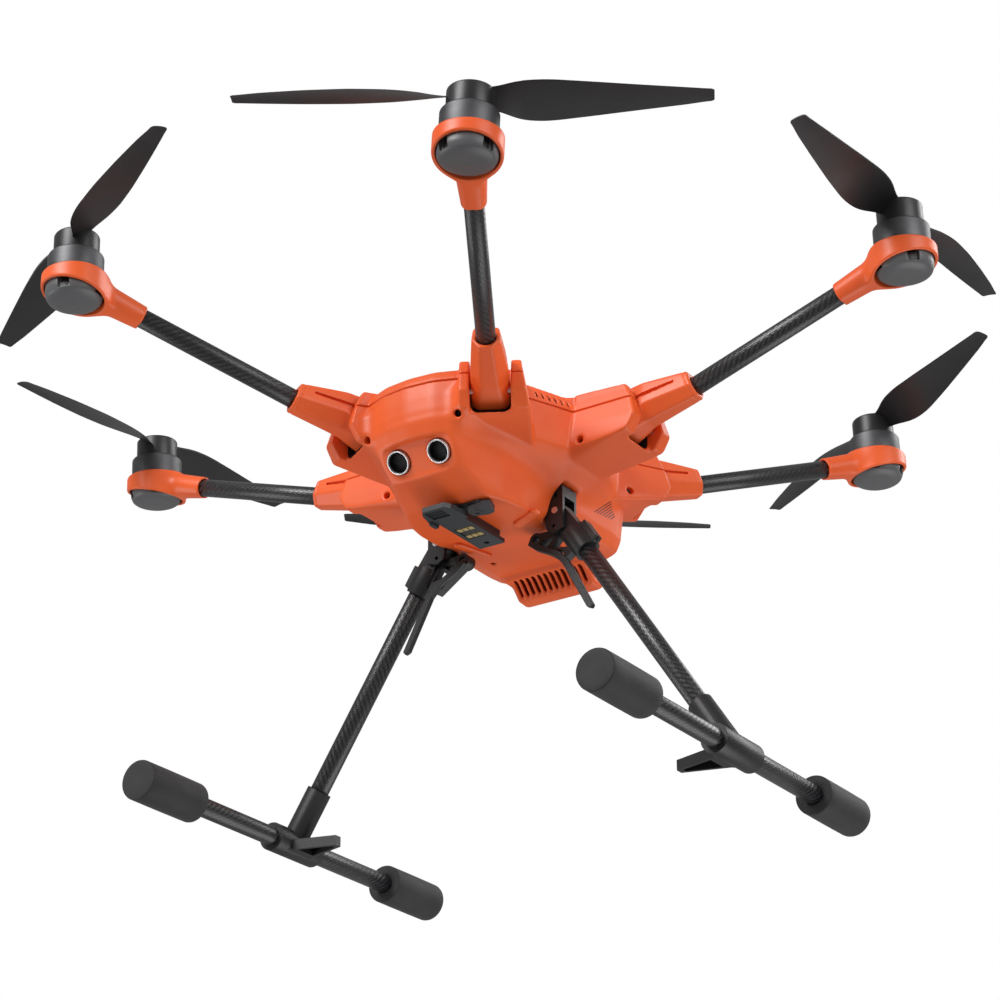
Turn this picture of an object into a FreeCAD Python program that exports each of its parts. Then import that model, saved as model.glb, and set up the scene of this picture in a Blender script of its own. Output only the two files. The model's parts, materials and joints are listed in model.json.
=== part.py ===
"""Six-arm folding drone: lower and upper body shells, folding arms with canted motors and
two-blade propellers, a sliding battery, a camera dock, and retracting landing gear.

Row frame: +Z up, the nose towards -Y, +X the drone's left. The origin is on the ground,
below the centre of the motor circle. Millimetres and degrees.
"""
import FreeCAD, Part
import Sketcher
import math
import os

from FreeCAD import Placement, Rotation, Vector

SIZES = {
    # motor circle and propellers
    "motor_circle": 240.0,
    "hub_height": 272.6,
    "motor_cant": 2.87,
    "prop_reach": 114.3,
    "prop_hub_rad": 11.7,
    "prop_hub_low": -9.0,
    "prop_hub_top": 3.2,
    "blade_chord": 24.0,
    # motors
    "bell_rad": 14.3,
    "bell_wall": 1.2,
    "bell_top": -9.2,
    "bell_low": -20.6,
    "ring_rad": 17.0,
    "ring_bore": 15.2,
    "ring_top": -21.0,
    "ring_low": -28.0,
    "ring_heel": -36.5,
    "base_rad": 15.1,
    "base_low": -37.5,
    "stator_rad": 12.0,
    "stator_top": -11.7,
    "motor_shaft_rad": 2.0,
    "running_gap": 0.05,
    # arms
    "arm_slope": 18.0,
    "axis_drop": 23.95,
    "tube_rad": 5.0,
    "tube_wall": 1.0,
    "tube_outer_end": -30.0,
    "tube_inner_end": -142.0,
    "sleeve_end": -125.96,
    "neck_rad": 6.25,
    "neck_half_width": 8.3,
    "neck_half_height": 7.4,
    "neck_end": -38.3,
    "sleeve_half_width": 9.65,
    "sleeve_end_rad": 7.2,
    "fold_reach": 86.0,
    "fold_height": 197.1,
    "fold_pin_rad": 1.5,
    "fold_pin_half": 13.0,
    # body shells
    "parting_height": 205.6,
    "belly_height": 152.6,
    "shell_wall": 2.0,
    "bay_half_width": 14.8,
    "pocket_half_width": 10.5,
    "pocket_reach": 75.4,
    "pocket_floor": 185.0,
    "pocket_lip": 83.0,
    "belly_hole_rad": 1.6,
    "belly_hole_x": 20.6,
    "belly_hole_y": 22.9,
    # ultrasonic sensors in the nose
    "sonar_x": 12.4,
    "sonar_y": -76.5,
    "sonar_height": 171.0,
    "sonar_rad": 6.3,
    "sonar_depth": 9.0,
    "sonar_tilt": 35.0,
    # inside the body
    "plate_rad": 52.0,
    "plate_thick": 3.0,
    "plate_height": 209.0,
    "board_length": 70.0,
    "board_width": 44.0,
    "board_thick": 1.6,
    "board_height": 203.0,
    "battery_width": 50.0,
    "battery_length": 92.0,
    "battery_tall": 34.0,
    "battery_height": 163.0,
    "battery_front": -22.0,
    # camera dock under the nose
    "dock_top": 152.6,
    "dock_low": 146.4,
    "dock_ledge": 148.6,
    "release_x": 16.4,
    "release_y": -46.5,
    "release_pin_rad": 1.3,
    # landing gear
    "gear_x": 37.5,
    "gear_height": 158.4,
    "gear_pin_rad": 1.8,
    "bracket_half": 6.7,
    "bracket_plate": 2.0,
    "foot_x": 132.8,
    "foot_height": 10.5,
    "clamp_rad": 6.7,
    "clamp_start": 13.4,
    "clamp_end": 29.0,
    "leg_start": 15.0,
    "foot_half_length": 124.0,
    "screw_rad": 1.6,
    "tee_rad": 7.5,
    "tee_half_length": 18.0,
    "socket_rad": 6.6,
    "socket_length": 24.0,
    "foam_rad": 10.5,
    "foam_inner": 82.4,
    "foam_outer": 125.5,
    # top button
    "button_rad": 5.0,
    "button_y": 10.0,
    "button_low": 226.0,
}

ARMS = {
    "front_left": 30.0,
    "mid_left": 90.0,
    "rear_left": 150.0,
    "rear_right": 210.0,
    "mid_right": 270.0,
    "front_right": 330.0,
}

doc = FreeCAD.newDocument("drone")
sheet = doc.addObject("Spreadsheet::Sheet", "Sizes")
for row, (alias, number) in enumerate(SIZES.items(), start=1):
    sheet.set(f"A{row}", alias)
    sheet.set(f"B{row}", str(number))
    sheet.setAlias(f"B{row}", alias)
doc.recompute()

nodes = []


def size(alias):
    return float(sheet.get(alias))


def value(formula):
    """The number a sheet formula stands for, such as "bell_rad - bell_wall"."""
    return float(sheet.evalExpression(formula))


def in_sheet(formula):
    """The same formula as other objects write it, with the sheet's name before each alias."""
    words = formula.split(" ")
    return " ".join(f"Sizes.{word}" if word in SIZES else word for word in words)


def keep(feature, label):
    """Names a finished sub-part and lists it for writing."""
    feature.Label = label
    nodes.append(feature)
    return feature


def add_shape(label, shape, placement=None):
    """A sub-part whose shape comes from lofts and booleans that no single feature makes."""
    feature = doc.addObject("Part::Feature", label)
    feature.Shape = shape
    if placement is not None:
        feature.Placement = placement
    return keep(feature, label)


# ---------------------------------------------------------------- sketches and bodies

def origin_plane(body, role):
    return next(item for item in body.Origin.OriginFeatures if item.Role == role)


def draw_outline(body, name, plane, corners):
    """A closed straight-sided sketch whose corners are held by sheet formulas."""
    sketch = body.newObject("Sketcher::SketchObject", name)
    sketch.AttachmentSupport = [(origin_plane(body, plane), "")]
    sketch.MapMode = "FlatFace"
    points = [Vector(value(across), value(up), 0) for across, up in corners]
    for start, end in zip(points, points[1:] + points[:1]):
        sketch.addGeometry(Part.LineSegment(start, end))
    for index in range(len(points)):
        following = (index + 1) % len(points)
        sketch.addConstraint(Sketcher.Constraint("Coincident", index, 2, following, 1))
    for index, (across, up) in enumerate(corners):
        for kind, formula in (("DistanceX", across), ("DistanceY", up)):
            number = sketch.addConstraint(
                Sketcher.Constraint(kind, -1, 1, index, 1, value(formula)))
            if any(word in SIZES for word in formula.split(" ")):
                sketch.setExpression(f"Constraints[{number}]", in_sheet(formula))
    return sketch


def turned_body(label, corners):
    """A body turned about Z from a half outline of (radius, height) formulas."""
    body = doc.addObject("PartDesign::Body", label)
    sketch = draw_outline(body, f"{label}_outline", "XZ_Plane", corners)
    turn = body.newObject("PartDesign::Revolution", f"{label}_turn")
    turn.Profile = sketch
    turn.ReferenceAxis = (sketch, ["V_Axis"])
    turn.Angle = 360
    return keep(body, label)


def padded_body(label, plane, corners, length, midplane=False):
    """A body padded from a flat outline."""
    body = doc.addObject("PartDesign::Body", label)
    sketch = draw_outline(body, f"{label}_outline", plane, corners)
    pad = body.newObject("PartDesign::Pad", f"{label}_pad")
    pad.Profile = sketch
    pad.setExpression("Length", in_sheet(length))
    pad.Midplane = midplane
    return keep(body, label)


# ---------------------------------------------------------------- shape helpers

def polygon_face(points):
    return Part.Face(Part.makePolygon(points + points[:1]))


def slab_y(profile, low, high):
    """An (x, z) outline pushed from y = low to y = high."""
    face = polygon_face([Vector(x, low, z) for x, z in profile])
    return face.extrude(Vector(0, high - low, 0))


def slab_x(profile, half):
    """A (y, z) outline pushed to both sides of the middle."""
    face = polygon_face([Vector(-half, y, z) for y, z in profile])
    return face.extrude(Vector(2 * half, 0, 0))


def slab_z(outline, low, high):
    face = polygon_face([Vector(x, y, low) for x, y in outline])
    return face.extrude(Vector(0, 0, high - low))


def rod(start, end, radius):
    along = end - start
    return Part.makeCylinder(radius, along.Length, start, along)


def mirrored(shape):
    """The same shape on the other side of the drone."""
    return shape.mirror(Vector(0, 0, 0), Vector(1, 0, 0))


def fused(shapes):
    return shapes[0].fuse(shapes[1:]).removeSplitter()


# ---------------------------------------------------------------- arm frames

def arm_turn(bearing):
    """Turns an arm drawn along +X to its bearing from the nose."""
    return Placement(Vector(0, 0, 0), Rotation(Vector(0, 0, 1), bearing - 90))


def arm_axis():
    """A point on the tube's axis at the motor circle, and the outward direction."""
    slope = math.radians(size("arm_slope"))
    point = Vector(size("motor_circle"), 0, size("hub_height") - size("axis_drop"))
    return point, Vector(math.cos(slope), 0, math.sin(slope))


def on_axis(distance):
    """The point of the arm's axis at a distance from the motor circle, outward positive."""
    point, outward = arm_axis()
    return point + outward * distance


def cant_sign(bearing):
    """Neighbouring motors lean towards each other in pairs, round the circle."""
    return -1 if round((bearing - 30) / 60) % 2 == 0 else 1


def motor_turn(bearing):
    """Rolls a motor about its arm's axis, then turns it to the arm's bearing."""
    point, outward = arm_axis()
    roll = Rotation(outward, cant_sign(bearing) * size("motor_cant"))
    lean = Placement(Vector(0, 0, 0), roll, point)
    hub = Placement(Vector(size("motor_circle"), 0, size("hub_height")), Rotation())
    return arm_turn(bearing).multiply(lean), hub


# ---------------------------------------------------------------- body shells

HULL_TOP = 231.0
HULL_LEVELS = [
    # height, then half outline from the nose to the tail
    (152.6, [(0, -54), (12, -53.9), (25, -50.5), (31, -31), (31, -10),
             (35, 8.5), (35, 46), (30, 56), (0, 60)]),
    (164.0, [(0, -72.5), (14, -72), (24, -67), (35.5, -36), (38, -12),
             (41, 10), (41, 47), (37, 58), (0, 62)]),
    (176.0, [(0, -82), (14, -81.5), (25.5, -76), (40, -40), (48, -14),
             (48, 14), (43, 43), (38, 60), (0, 65)]),
    (185.0, [(0, -87.5), (15, -86.2), (27.5, -80.5), (45, -43), (56, -15.5),
             (56, 15.5), (45.5, 43), (38, 62), (0, 67)]),
    (205.6, [(0, -88), (15, -86.5), (28, -81), (46, -43.3), (56.8, -15.5),
             (56.8, 15.5), (46, 43.3), (38, 62), (0, 68)]),
    (211.0, [(0, -86.5), (15, -85), (27.5, -79.5), (45.5, -43), (56, -15.5),
             (56, 15.5), (45.5, 43), (37, 61), (0, 66.5)]),
    (216.0, [(0, -76.5), (13, -75.5), (25, -70.5), (42, -40.5), (51.5, -15),
             (51.5, 15), (42, 40.5), (34, 57), (0, 61)]),
    (222.0, [(0, -60), (11, -59), (20, -55), (32, -33), (36, -12),
             (36, 12), (32, 33), (26, 46), (0, 50)]),
    (227.0, [(0, -44), (8, -43), (15, -39), (22, -24), (25, -8),
             (25, 8), (22, 24), (16, 33), (0, 36)]),
    (HULL_TOP, [(0, -28), (5, -27), (10, -24), (13, -15), (14, -5),
                (14, 5), (13, 15), (9, 21), (0, 23)]),
]


def hull_part(low, high, inset):
    """The hull between two heights, drawn inside its skin by inset."""
    wires = []
    for height, half in HULL_LEVELS:
        if low - 0.01 <= height <= high + 0.01:
            left = [(-x, y) for x, y in reversed(half[1:-1])]
            ring = []
            for x, y in half + left:
                scale = 1 - inset / math.hypot(x, y)
                ring.append(Vector(x * scale, y * scale, height))
            wires.append(Part.makePolygon(ring + ring[:1]))
    return Part.makeLoft(wires, True, True)


# one arm bay seen from the side: (reach, height) from its top round the front to its underside
BAY_PROFILE = [(40, 215), (86.8, 214), (90.4, 207), (93.5, 195), (91.6, 190), (87.5, 186.6),
               (83.6, 185.4), (57, 180.4), (40, 178)]


def bay_block(bearing):
    """The outer block of one arm bay, from the hull to its two cheeks."""
    half = size("bay_half_width")
    shape = slab_y(BAY_PROFILE, -half, half)
    shape.Placement = arm_turn(bearing)
    return shape


def bay_pocket(bearing):
    """What an arm's root needs to swing in: a slot open at the top, the front and the low front."""
    half = size("pocket_half_width")
    back = size("pocket_reach")
    floor = size("pocket_floor")
    lip = size("pocket_lip")
    low = floor - 10
    outline = [(back, floor), (lip, floor), (lip, low), (110, low), (110, 232), (back, 232)]
    slot = slab_y(outline, -half, half)
    spot = Vector(size("fold_reach"), 0, size("fold_height"))
    side = Vector(0, size("fold_pin_half"), 0)
    bore = rod(spot - side, spot + side, size("fold_pin_rad"))
    shape = fused([slot, bore])
    shape.Placement = arm_turn(bearing)
    return shape


def tail_block():
    """The lower rear of the hull, with the sloping vent face ahead of it."""
    return slab_x([(41.6, 152.6), (53.1, 141.2), (60, 140.6), (65, 144), (67, 170), (41.6, 170)], 24)


def hull_block(inset):
    floor = size("belly_height") + inset
    lower = hull_part(size("belly_height"), size("parting_height"), inset)
    upper = hull_part(size("parting_height"), HULL_TOP, inset)
    return lower.fuse(upper).removeSplitter().common(square_block(floor, HULL_TOP - inset))


def square_block(low, high):
    """A block wider than the body, between two heights."""
    reach = 130
    return slab_z([(-reach, -reach), (reach, -reach), (reach, reach), (-reach, reach)], low, high)


def sonar_axis():
    """Where the sensors' faces sit, and the way they look: forward and down."""
    tilt = math.radians(size("sonar_tilt"))
    return Vector(0, -math.cos(tilt), -math.sin(tilt))


def sonar_bores(radius, depth):
    look = sonar_axis()
    bores = []
    for side in (-1, 1):
        face = Vector(side * size("sonar_x"), size("sonar_y"), size("sonar_height"))
        bores.append(rod(face - look * depth, face + look * 12, radius))
    return bores


def belly_holes():
    floor = size("belly_height")
    spots = [(side * size("belly_hole_x"), size("belly_hole_y")) for side in (-1, 1)]
    return [rod(Vector(x, y, floor - 1), Vector(x, y, floor + 4), size("belly_hole_rad")) for x, y in spots]


def vent_slots():
    """The row of slots through the sloping face at the tail."""
    slots = []
    for index in range(12):
        x = -20.35 + index * 3.7
        slot = slab_x([(43, 138), (52, 138), (52, 156), (43, 156)], 0.8)
        slots.append(slot.translated(Vector(x, 0, 0)))
    return slots


def top_vents():
    """Slanting slots along the rim of the upper shell, between the front and middle arms."""
    slots = []
    for index in range(7):
        slot = slab_y([(-4.5, 210), (4.5, 210), (4.5, 226), (-4.5, 226)], -0.7, 0.7)
        spot = Vector(43.0 + index * 1.0, -36.0 + index * 3.6, 0)
        slot.Placement = Placement(spot, Rotation(Vector(0, 0, 1), 24))
        slots += [slot, mirrored(slot)]
    return slots


def battery_box(grow, extra=0):
    """The battery's box, grown all round and made longer at the back."""
    half = size("battery_width") / 2 + grow
    low = size("battery_height") - grow
    high = size("battery_height") + size("battery_tall") + grow
    front = size("battery_front") - grow
    back = size("battery_front") + size("battery_length") + extra
    return slab_x([(front, low), (back, low), (back, high), (front, high)], half)


def gear_notches(grow):
    """The recesses in the hull's sides that the landing-gear brackets stand in."""
    half = size("bracket_half") + 0.4 + grow
    low, high = 140 - grow, 174 + grow
    inner = size("gear_x") - 7.5 - grow
    notch = slab_y([(inner, low), (inner, high), (62, high), (62, low)], -half, half)
    return [notch, mirrored(notch)]


def build_shells():
    outer = hull_block(0)
    outer = outer.fuse([tail_block()] + [bay_block(bearing) for bearing in ARMS.values()])
    wall = size("shell_wall")
    inner = hull_block(wall).cut(gear_notches(wall))
    cuts = [inner, battery_box(0.5, 40)] + gear_notches(0)
    cuts += [bay_pocket(bearing) for bearing in ARMS.values()]
    cuts += sonar_bores(size("sonar_rad"), size("sonar_depth"))
    cuts += belly_holes() + vent_slots() + top_vents()
    cuts += screw_shapes()
    tail_room = slab_x([(44, 154), (54, 143.5), (59, 143), (63, 146), (64, 160), (44, 160)], 22)
    cuts.append(tail_room)
    button = Vector(0, size("button_y"), 0)
    cuts.append(rod(button + Vector(0, 0, 220), button + Vector(0, 0, 240), size("button_rad") + 0.4))
    shell = outer.cut(cuts)
    split = size("parting_height")
    add_shape("bottom_shell", largest(shell.common(square_block(100, split - 0.15))))
    add_shape("top_shell", largest(shell.common(square_block(split + 0.15, 300))))


def largest(shape):
    """The main solid of a cut, leaving out loose slivers."""
    return max(shape.Solids, key=lambda solid: solid.Volume)


# ---------------------------------------------------------------- fasteners and pins

# the side of each front bay that faces the nose, where the hull reaches further out
NOSE_SIDE = {"front_left": -1, "front_right": 1}
# the side of each rear bay that faces the battery's way out, where no screw has room
TAIL_SIDE = {"rear_left": 1, "rear_right": -1}


def screw_spot(name, side):
    """The reach and height of one bay screw."""
    if NOSE_SIDE.get(name) == side:
        return 75.0, 190.0
    return (61.0, 187.8) if name.startswith("mid") else (67.0, 187.6)


def screw_shapes():
    """Short screws set into the sides of the bays, level with their skin."""
    screws = []
    for name, bearing in ARMS.items():
        for side in (-1, 1):
            if TAIL_SIDE.get(name) == side:
                continue
            reach, height = screw_spot(name, side)
            spot = Vector(reach, side * size("bay_half_width"), height)
            screw = rod(spot, spot - Vector(0, side * 2.2, 0), size("screw_rad"))
            screw.Placement = arm_turn(bearing)
            screws.append(screw)
    return screws


def build_screws():
    add_shape("shell_screws", Part.Compound([largest(screw) for screw in screw_shapes()]))


def build_pins():
    """Six fold pins across the bays, and one pin through each landing-gear bracket."""
    pins = []
    half = size("fold_pin_half")
    for bearing in ARMS.values():
        pin = rod(Vector(size("fold_reach"), -half, size("fold_height")),
                  Vector(size("fold_reach"), half, size("fold_height")), size("fold_pin_rad"))
        pin.Placement = arm_turn(bearing)
        pins.append(pin)
    half = size("bracket_half")
    for side in (-1, 1):
        x = side * size("gear_x")
        ends = [Vector(x, end * (half + 0.3), size("gear_height")) for end in (-1, 1)]
        pins.append(rod(ends[0], ends[1], size("gear_pin_rad")))
    add_shape("hinge_pins", Part.Compound(pins))


# ---------------------------------------------------------------- inside the body

def build_inside():
    padded_body("frame_plate", "XY_Plane", hexagon("plate_rad"), "plate_thick")
    doc.getObject("frame_plate").Placement = Placement(Vector(0, 0, size("plate_height")), Rotation())

    board = doc.addObject("Part::Box", "flight_board")
    board.setExpression("Length", "Sizes.board_width")
    board.setExpression("Width", "Sizes.board_length")
    board.setExpression("Height", "Sizes.board_thick")
    corner = Vector(-size("board_width") / 2, -size("board_length") / 2, size("board_height"))
    board.Placement = Placement(corner, Rotation())
    keep(board, "flight_board")

    battery = battery_box(0)
    back = size("battery_front") + size("battery_length")
    low = size("battery_height")
    high = low + size("battery_tall")
    grip = slab_x([(back - 5, low + 8), (back + 1, low + 8), (back + 1, high - 8), (back - 5, high - 8)], 14)
    pack = battery.cut(grip)
    add_shape("battery_pack", pack.makeFillet(3.0, lengthwise_edges(pack, 30)))

    actuators = []
    for side in (-1, 1):
        box = slab_z([(17.5, -12), (27, -12), (27, 12), (17.5, 12)], 155.2, 161.5)
        actuators.append(box if side > 0 else mirrored(box))
    add_shape("gear_actuators", Part.Compound(actuators))


def hexagon(radius):
    corners = []
    for index in range(6):
        angle = math.radians(60 * index)
        corners.append((f"{radius} * {math.cos(angle):.6f}", f"{radius} * {math.sin(angle):.6f}"))
    return corners


def lengthwise_edges(shape, least):
    """The long edges that run along Y."""
    edges = []
    for edge in shape.Edges:
        run = edge.Vertexes[-1].Point - edge.Vertexes[0].Point
        if abs(run.y) > least and abs(run.y) > 0.99 * run.Length:
            edges.append(edge)
    return edges


def build_button():
    """The power button in the upper shell: a cap with a shoulder that keeps it inside."""
    turned_body("power_button", [
        ("0", "button_low"), ("button_rad + 1.5", "button_low"),
        ("button_rad + 1.5", "button_low + 1.2"), ("button_rad", "button_low + 1.2"),
        ("button_rad", "button_low + 6"), ("0", "button_low + 6")])
    doc.getObject("power_button").Placement = Placement(Vector(0, size("button_y"), 0), Rotation())


def build_sonar():
    look = sonar_axis()
    cans = []
    for side in (-1, 1):
        face = Vector(side * size("sonar_x"), size("sonar_y"), size("sonar_height"))
        can = rod(face - look * size("sonar_depth"), face + look * 1.2, size("sonar_rad"))
        dish = rod(face + look * 0.2, face + look * 3, size("sonar_rad") - 1.2)
        cans.append(can.cut(dish))
    add_shape("sonar_sensors", Part.Compound(cans))


# ---------------------------------------------------------------- camera dock

def dock_plate():
    """The dock's flat plate: a rail, a wider head with a ribbed recess, and one hanging lug."""
    low = size("dock_low")
    ledge = size("dock_ledge")
    rail = slab_z([(-7.2, -54), (8.2, -54), (8.2, -9.3), (-7.2, -9.3)], low, ledge)
    head_outline = [(-8.2, -60), (-5.6, -64.4), (7.4, -64.4), (9.6, -61), (10.8, -52), (10.8, -46.5),
                    (-10, -46.5), (-10, -52.5)]
    head = slab_z(head_outline, low - 0.4, ledge)
    recess = slab_z([(-5.8, -62), (4.6, -62), (4.6, -53.6), (-5.8, -53.6)], low - 1, low + 1)
    ribs = [slab_z([(-5.8, y), (4.6, y), (4.6, y + 0.7), (-5.8, y + 0.7)], low, low + 1)
            for y in (-60.6, -58.9, -57.2, -55.5)]
    lug = slab_z([(-10, -52), (-7.6, -52), (-7.6, -46.5), (-10, -46.5)], low - 1.8, low)
    return fused([fused([rail, head]).cut(recess), lug] + ribs)


def build_dock():
    """The plate a camera gimbal slides on to, its contacts and its release lever."""
    top = size("dock_top")
    low = size("dock_low")
    ledge = size("dock_ledge")
    stem = slab_z([(-6, -52), (7, -52), (7, -12), (-6, -12)], ledge - 0.5, top)
    ear = slab_z([(6, -50.5), (20, -50.5), (20, -43), (6, -43)], top - 1.2, top)
    hinge = Vector(size("release_x"), size("release_y"), low + 1)
    stud = rod(hinge, Vector(hinge.x, hinge.y, top), size("release_pin_rad"))
    contact_bed = slab_z([(-4.9, -37), (5.9, -37), (5.9, -23), (-4.9, -23)], low - 1, low + 0.6)
    screw_hole = rod(Vector(0.3, -14.4, low - 1), Vector(0.3, -14.4, low + 1.8), 1.6)
    body = fused([dock_plate(), stem, ear, stud]).cut([contact_bed, screw_hole])
    add_shape("gimbal_dock", largest(body))

    contacts = []
    for x in (-2.9, 0.5, 3.9):
        for y in (-35.6, -26.9):
            outline = [(x - 1.4, y), (x + 1.4, y), (x + 1.4, y + 3.2), (x - 1.4, y + 3.2)]
            contacts.append(slab_z(outline, low + 0.1, low + 0.6))
    add_shape("dock_contacts", Part.Compound(contacts))

    lever_outline = [(12.4, -49.6), (16, -49.9), (22.6, -51.0), (25.6, -49.0), (24.1, -42.5), (19.6, -41.5),
                     (16, -43.1), (12.4, -44.5)]
    lever = slab_z(lever_outline, low + 0.8, top - 1.6)
    eye = rod(hinge + Vector(0, 0, -0.4), hinge + Vector(0, 0, 3.6), 3.4)
    hole_rad = size("release_pin_rad") + size("running_gap")
    hole = rod(hinge - Vector(0, 0, 2), hinge + Vector(0, 0, 8), hole_rad)
    add_shape("dock_release", largest(fused([lever, eye]).cut(hole)))


# ---------------------------------------------------------------- landing gear

def leg_frame():
    """The gear's pivot, the direction down the leg, and the direction out from it."""
    pivot = Vector(size("gear_x"), 0, size("gear_height"))
    foot = Vector(size("foot_x"), 0, size("foot_height"))
    down = (foot - pivot).normalize()
    out = Vector(-down.z, 0, down.x)
    return pivot, down, out


def leg_point(along, aside, y=0.0):
    pivot, down, out = leg_frame()
    return pivot + down * along + out * aside + Vector(0, y, 0)


def leg_slab(outline, low, high):
    """An outline in (along the leg, out from it), pushed from y = low to y = high."""
    face = polygon_face([leg_point(along, aside, low) for along, aside in outline])
    return face.extrude(Vector(0, high - low, 0))


def bracket_shape():
    """Two cheeks with a pointed top, joined by a web with a window."""
    half = size("bracket_half")
    plate = size("bracket_plate")
    x = size("gear_x")
    height = size("gear_height")
    cheek = [(x - 5.8, 152), (x - 5.8, 168.5), (x + 4.3, 172.4), (x + 4.9, 171.5), (x + 4.9, 147.5),
             (x - 1, 146.0), (x - 5, 148)]
    front = slab_y(cheek, -half, -half + plate)
    back = slab_y(cheek, half - plate, half)
    roof = [(x - 5.8, 166.4), (x - 5.8, 168.5), (x + 4.3, 172.4), (x + 4.9, 171.5), (x + 4.9, 165.8),
            (x + 2.9, 165.8)]
    frame = fused([front, back, slab_y(roof, -half, half)])
    pivot = rod(Vector(x, -half - 1, height), Vector(x, half + 1, height), size("gear_pin_rad"))
    spots = [Vector(x + 0.6, -half - 1, height + 8.2), Vector(x - 0.6, -half - 1, height - 8.8)]
    holes = [rod(spot, spot + Vector(0, plate + 1.5, 0), 1.1) for spot in spots]
    return largest(frame.cut([pivot] + holes))


def clamp_shape():
    """The leg holder: a tongue on the pin, a split clamp round the leg, and a trussed web."""
    half = size("bracket_half") - size("bracket_plate") - 0.35
    tongue = rod(leg_point(0, 0, -half), leg_point(0, 0, half), 5.0)
    neck = leg_slab([(0, -4.6), (0, 4.6), (16, 5.6), (16, -5.6)], -half, half)
    barrel = rod(leg_point(size("clamp_start"), 0), leg_point(size("clamp_end"), 0), size("clamp_rad"))
    lug = leg_slab([(15, 4), (15, 9), (27, 9), (28.5, 4)], -3.2, 3.2)
    web = leg_slab([(2, -22.8), (-1.5, -18), (8, -4), (24, -4), (24, -13.4)], -2.6, 2.6)
    windows = [leg_slab(corners, -4, 4) for corners in (
        [(4.3, -18.4), (9.5, -8.5), (10.5, -16.5)],
        [(11.2, -7.0), (12.5, -14.6), (19.5, -7.0)],
        [(14.5, -14.2), (21.4, -12.0), (20.9, -8.2)])]
    boss = rod(leg_point(2.2, -18.5, -2.6), leg_point(2.2, -18.5, 4.2), 3.9)
    body = fused([tongue, neck, barrel, lug, web.cut(windows), boss])
    gap = leg_slab([(13, -1), (30, -1), (30, 10), (13, 10)], -0.4, 0.4)
    cuts = [rod(leg_point(0, 0, -8), leg_point(0, 0, 8), size("gear_pin_rad") + size("running_gap")),
            rod(leg_point(size("leg_start"), 0), leg_point(40, 0), size("tube_rad")),
            rod(leg_point(2.2, -18.5, -8), leg_point(2.2, -18.5, 8), 2.2),
            gap]
    return largest(body.cut(cuts))


def antenna_shape():
    """The flat antenna blade beside the leg: hooked at the top, then nearly along the leg."""
    outline = [(26, -10.8), (27, -13.6), (58, -16.4), (60.2, -14.8), (59.5, -13.0), (28, -10.0)]
    hook = [(1.5, -20.6), (3.2, -23.0), (9.5, -21.0), (20, -14.9), (27, -13.6), (28, -10.0),
            (20, -11.2), (10.5, -16.6)]
    return fused([leg_slab(outline, -5.6, -2.6), leg_slab(hook, -5.6, -2.6)])


def tube_pair():
    """The leg tube, and the tube that stands on the ground."""
    radius = size("tube_rad")
    bore = radius - size("tube_wall")
    length = (Vector(size("foot_x"), 0, size("foot_height")) - leg_point(0, 0)).Length
    leg_end = length - size("tee_rad")
    leg = rod(leg_point(size("leg_start"), 0), leg_point(leg_end, 0), radius)
    leg = leg.cut(rod(leg_point(size("leg_start") - 1, 0), leg_point(leg_end + 1, 0), bore))
    half = size("foot_half_length")
    ends = [Vector(size("foot_x"), side * half, size("foot_height")) for side in (-1, 1)]
    foot = rod(ends[0], ends[1], radius).cut(rod(ends[0] - Vector(0, 1, 0), ends[1] + Vector(0, 1, 0), bore))
    return Part.Compound([leg, foot])


def tee_shape():
    """The sleeve on the ground tube, with the leg's socket and a flat hollow fin."""
    half = size("tee_half_length")
    centre = Vector(size("foot_x"), 0, size("foot_height"))
    length = (centre - leg_point(0, 0)).Length
    leg_end = length - size("tee_rad")
    sleeve = rod(centre - Vector(0, half, 0), centre + Vector(0, half, 0), size("tee_rad"))
    socket = rod(leg_point(leg_end - size("socket_length"), 0), leg_point(length, 0), size("socket_rad"))
    x = size("foot_x")
    fin = slab_z([(x, -15), (x, 15), (x - 6, 9), (x - 30, 2.2), (x - 30, -2.2), (x - 6, -9)], 4.6, 10.0)
    hollow = slab_z([(x - 9, -6.2), (x - 27, -1.4), (x - 27, 1.4), (x - 9, 6.2)], 3, 8.4)
    body = fused([sleeve, socket, fin.cut(hollow)])
    cuts = [rod(centre - Vector(0, half + 1, 0), centre + Vector(0, half + 1, 0), size("tube_rad")),
            rod(leg_point(leg_end - size("socket_length") - 1, 0), leg_point(leg_end, 0), size("tube_rad"))]
    return largest(body.cut(cuts))


def foam_pair():
    """The two soft sleeves on the ends of one ground tube."""
    pads = []
    for side in (-1, 1):
        near = Vector(size("foot_x"), side * size("foam_inner"), size("foot_height"))
        far = Vector(size("foot_x"), side * size("foam_outer"), size("foot_height"))
        pad = rod(near, far, size("foam_rad"))
        rims = [edge for edge in pad.Edges if edge.Closed]
        pad = pad.makeChamfer(1.0, rims)
        tip = Vector(size("foot_x"), side * size("foot_half_length"), size("foot_height"))
        pads.append(pad.cut(rod(near - Vector(0, side, 0), tip, size("tube_rad"))))
    return Part.Compound(pads)


GEAR_SHAPES = {
    "leg_clamp": clamp_shape,
    "antenna_blade": antenna_shape,
    "gear_tubes": tube_pair,
    "leg_tee": tee_shape,
    "foot_pads": foam_pair,
}


def build_gear():
    bracket = bracket_shape()
    add_shape("gear_brackets", Part.Compound([bracket, mirrored(bracket)]))
    for name, make in GEAR_SHAPES.items():
        shape = make()
        add_shape(f"{name}_left", shape)
        add_shape(f"{name}_right", mirrored(shape))


# ---------------------------------------------------------------- arms and rotors

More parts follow.
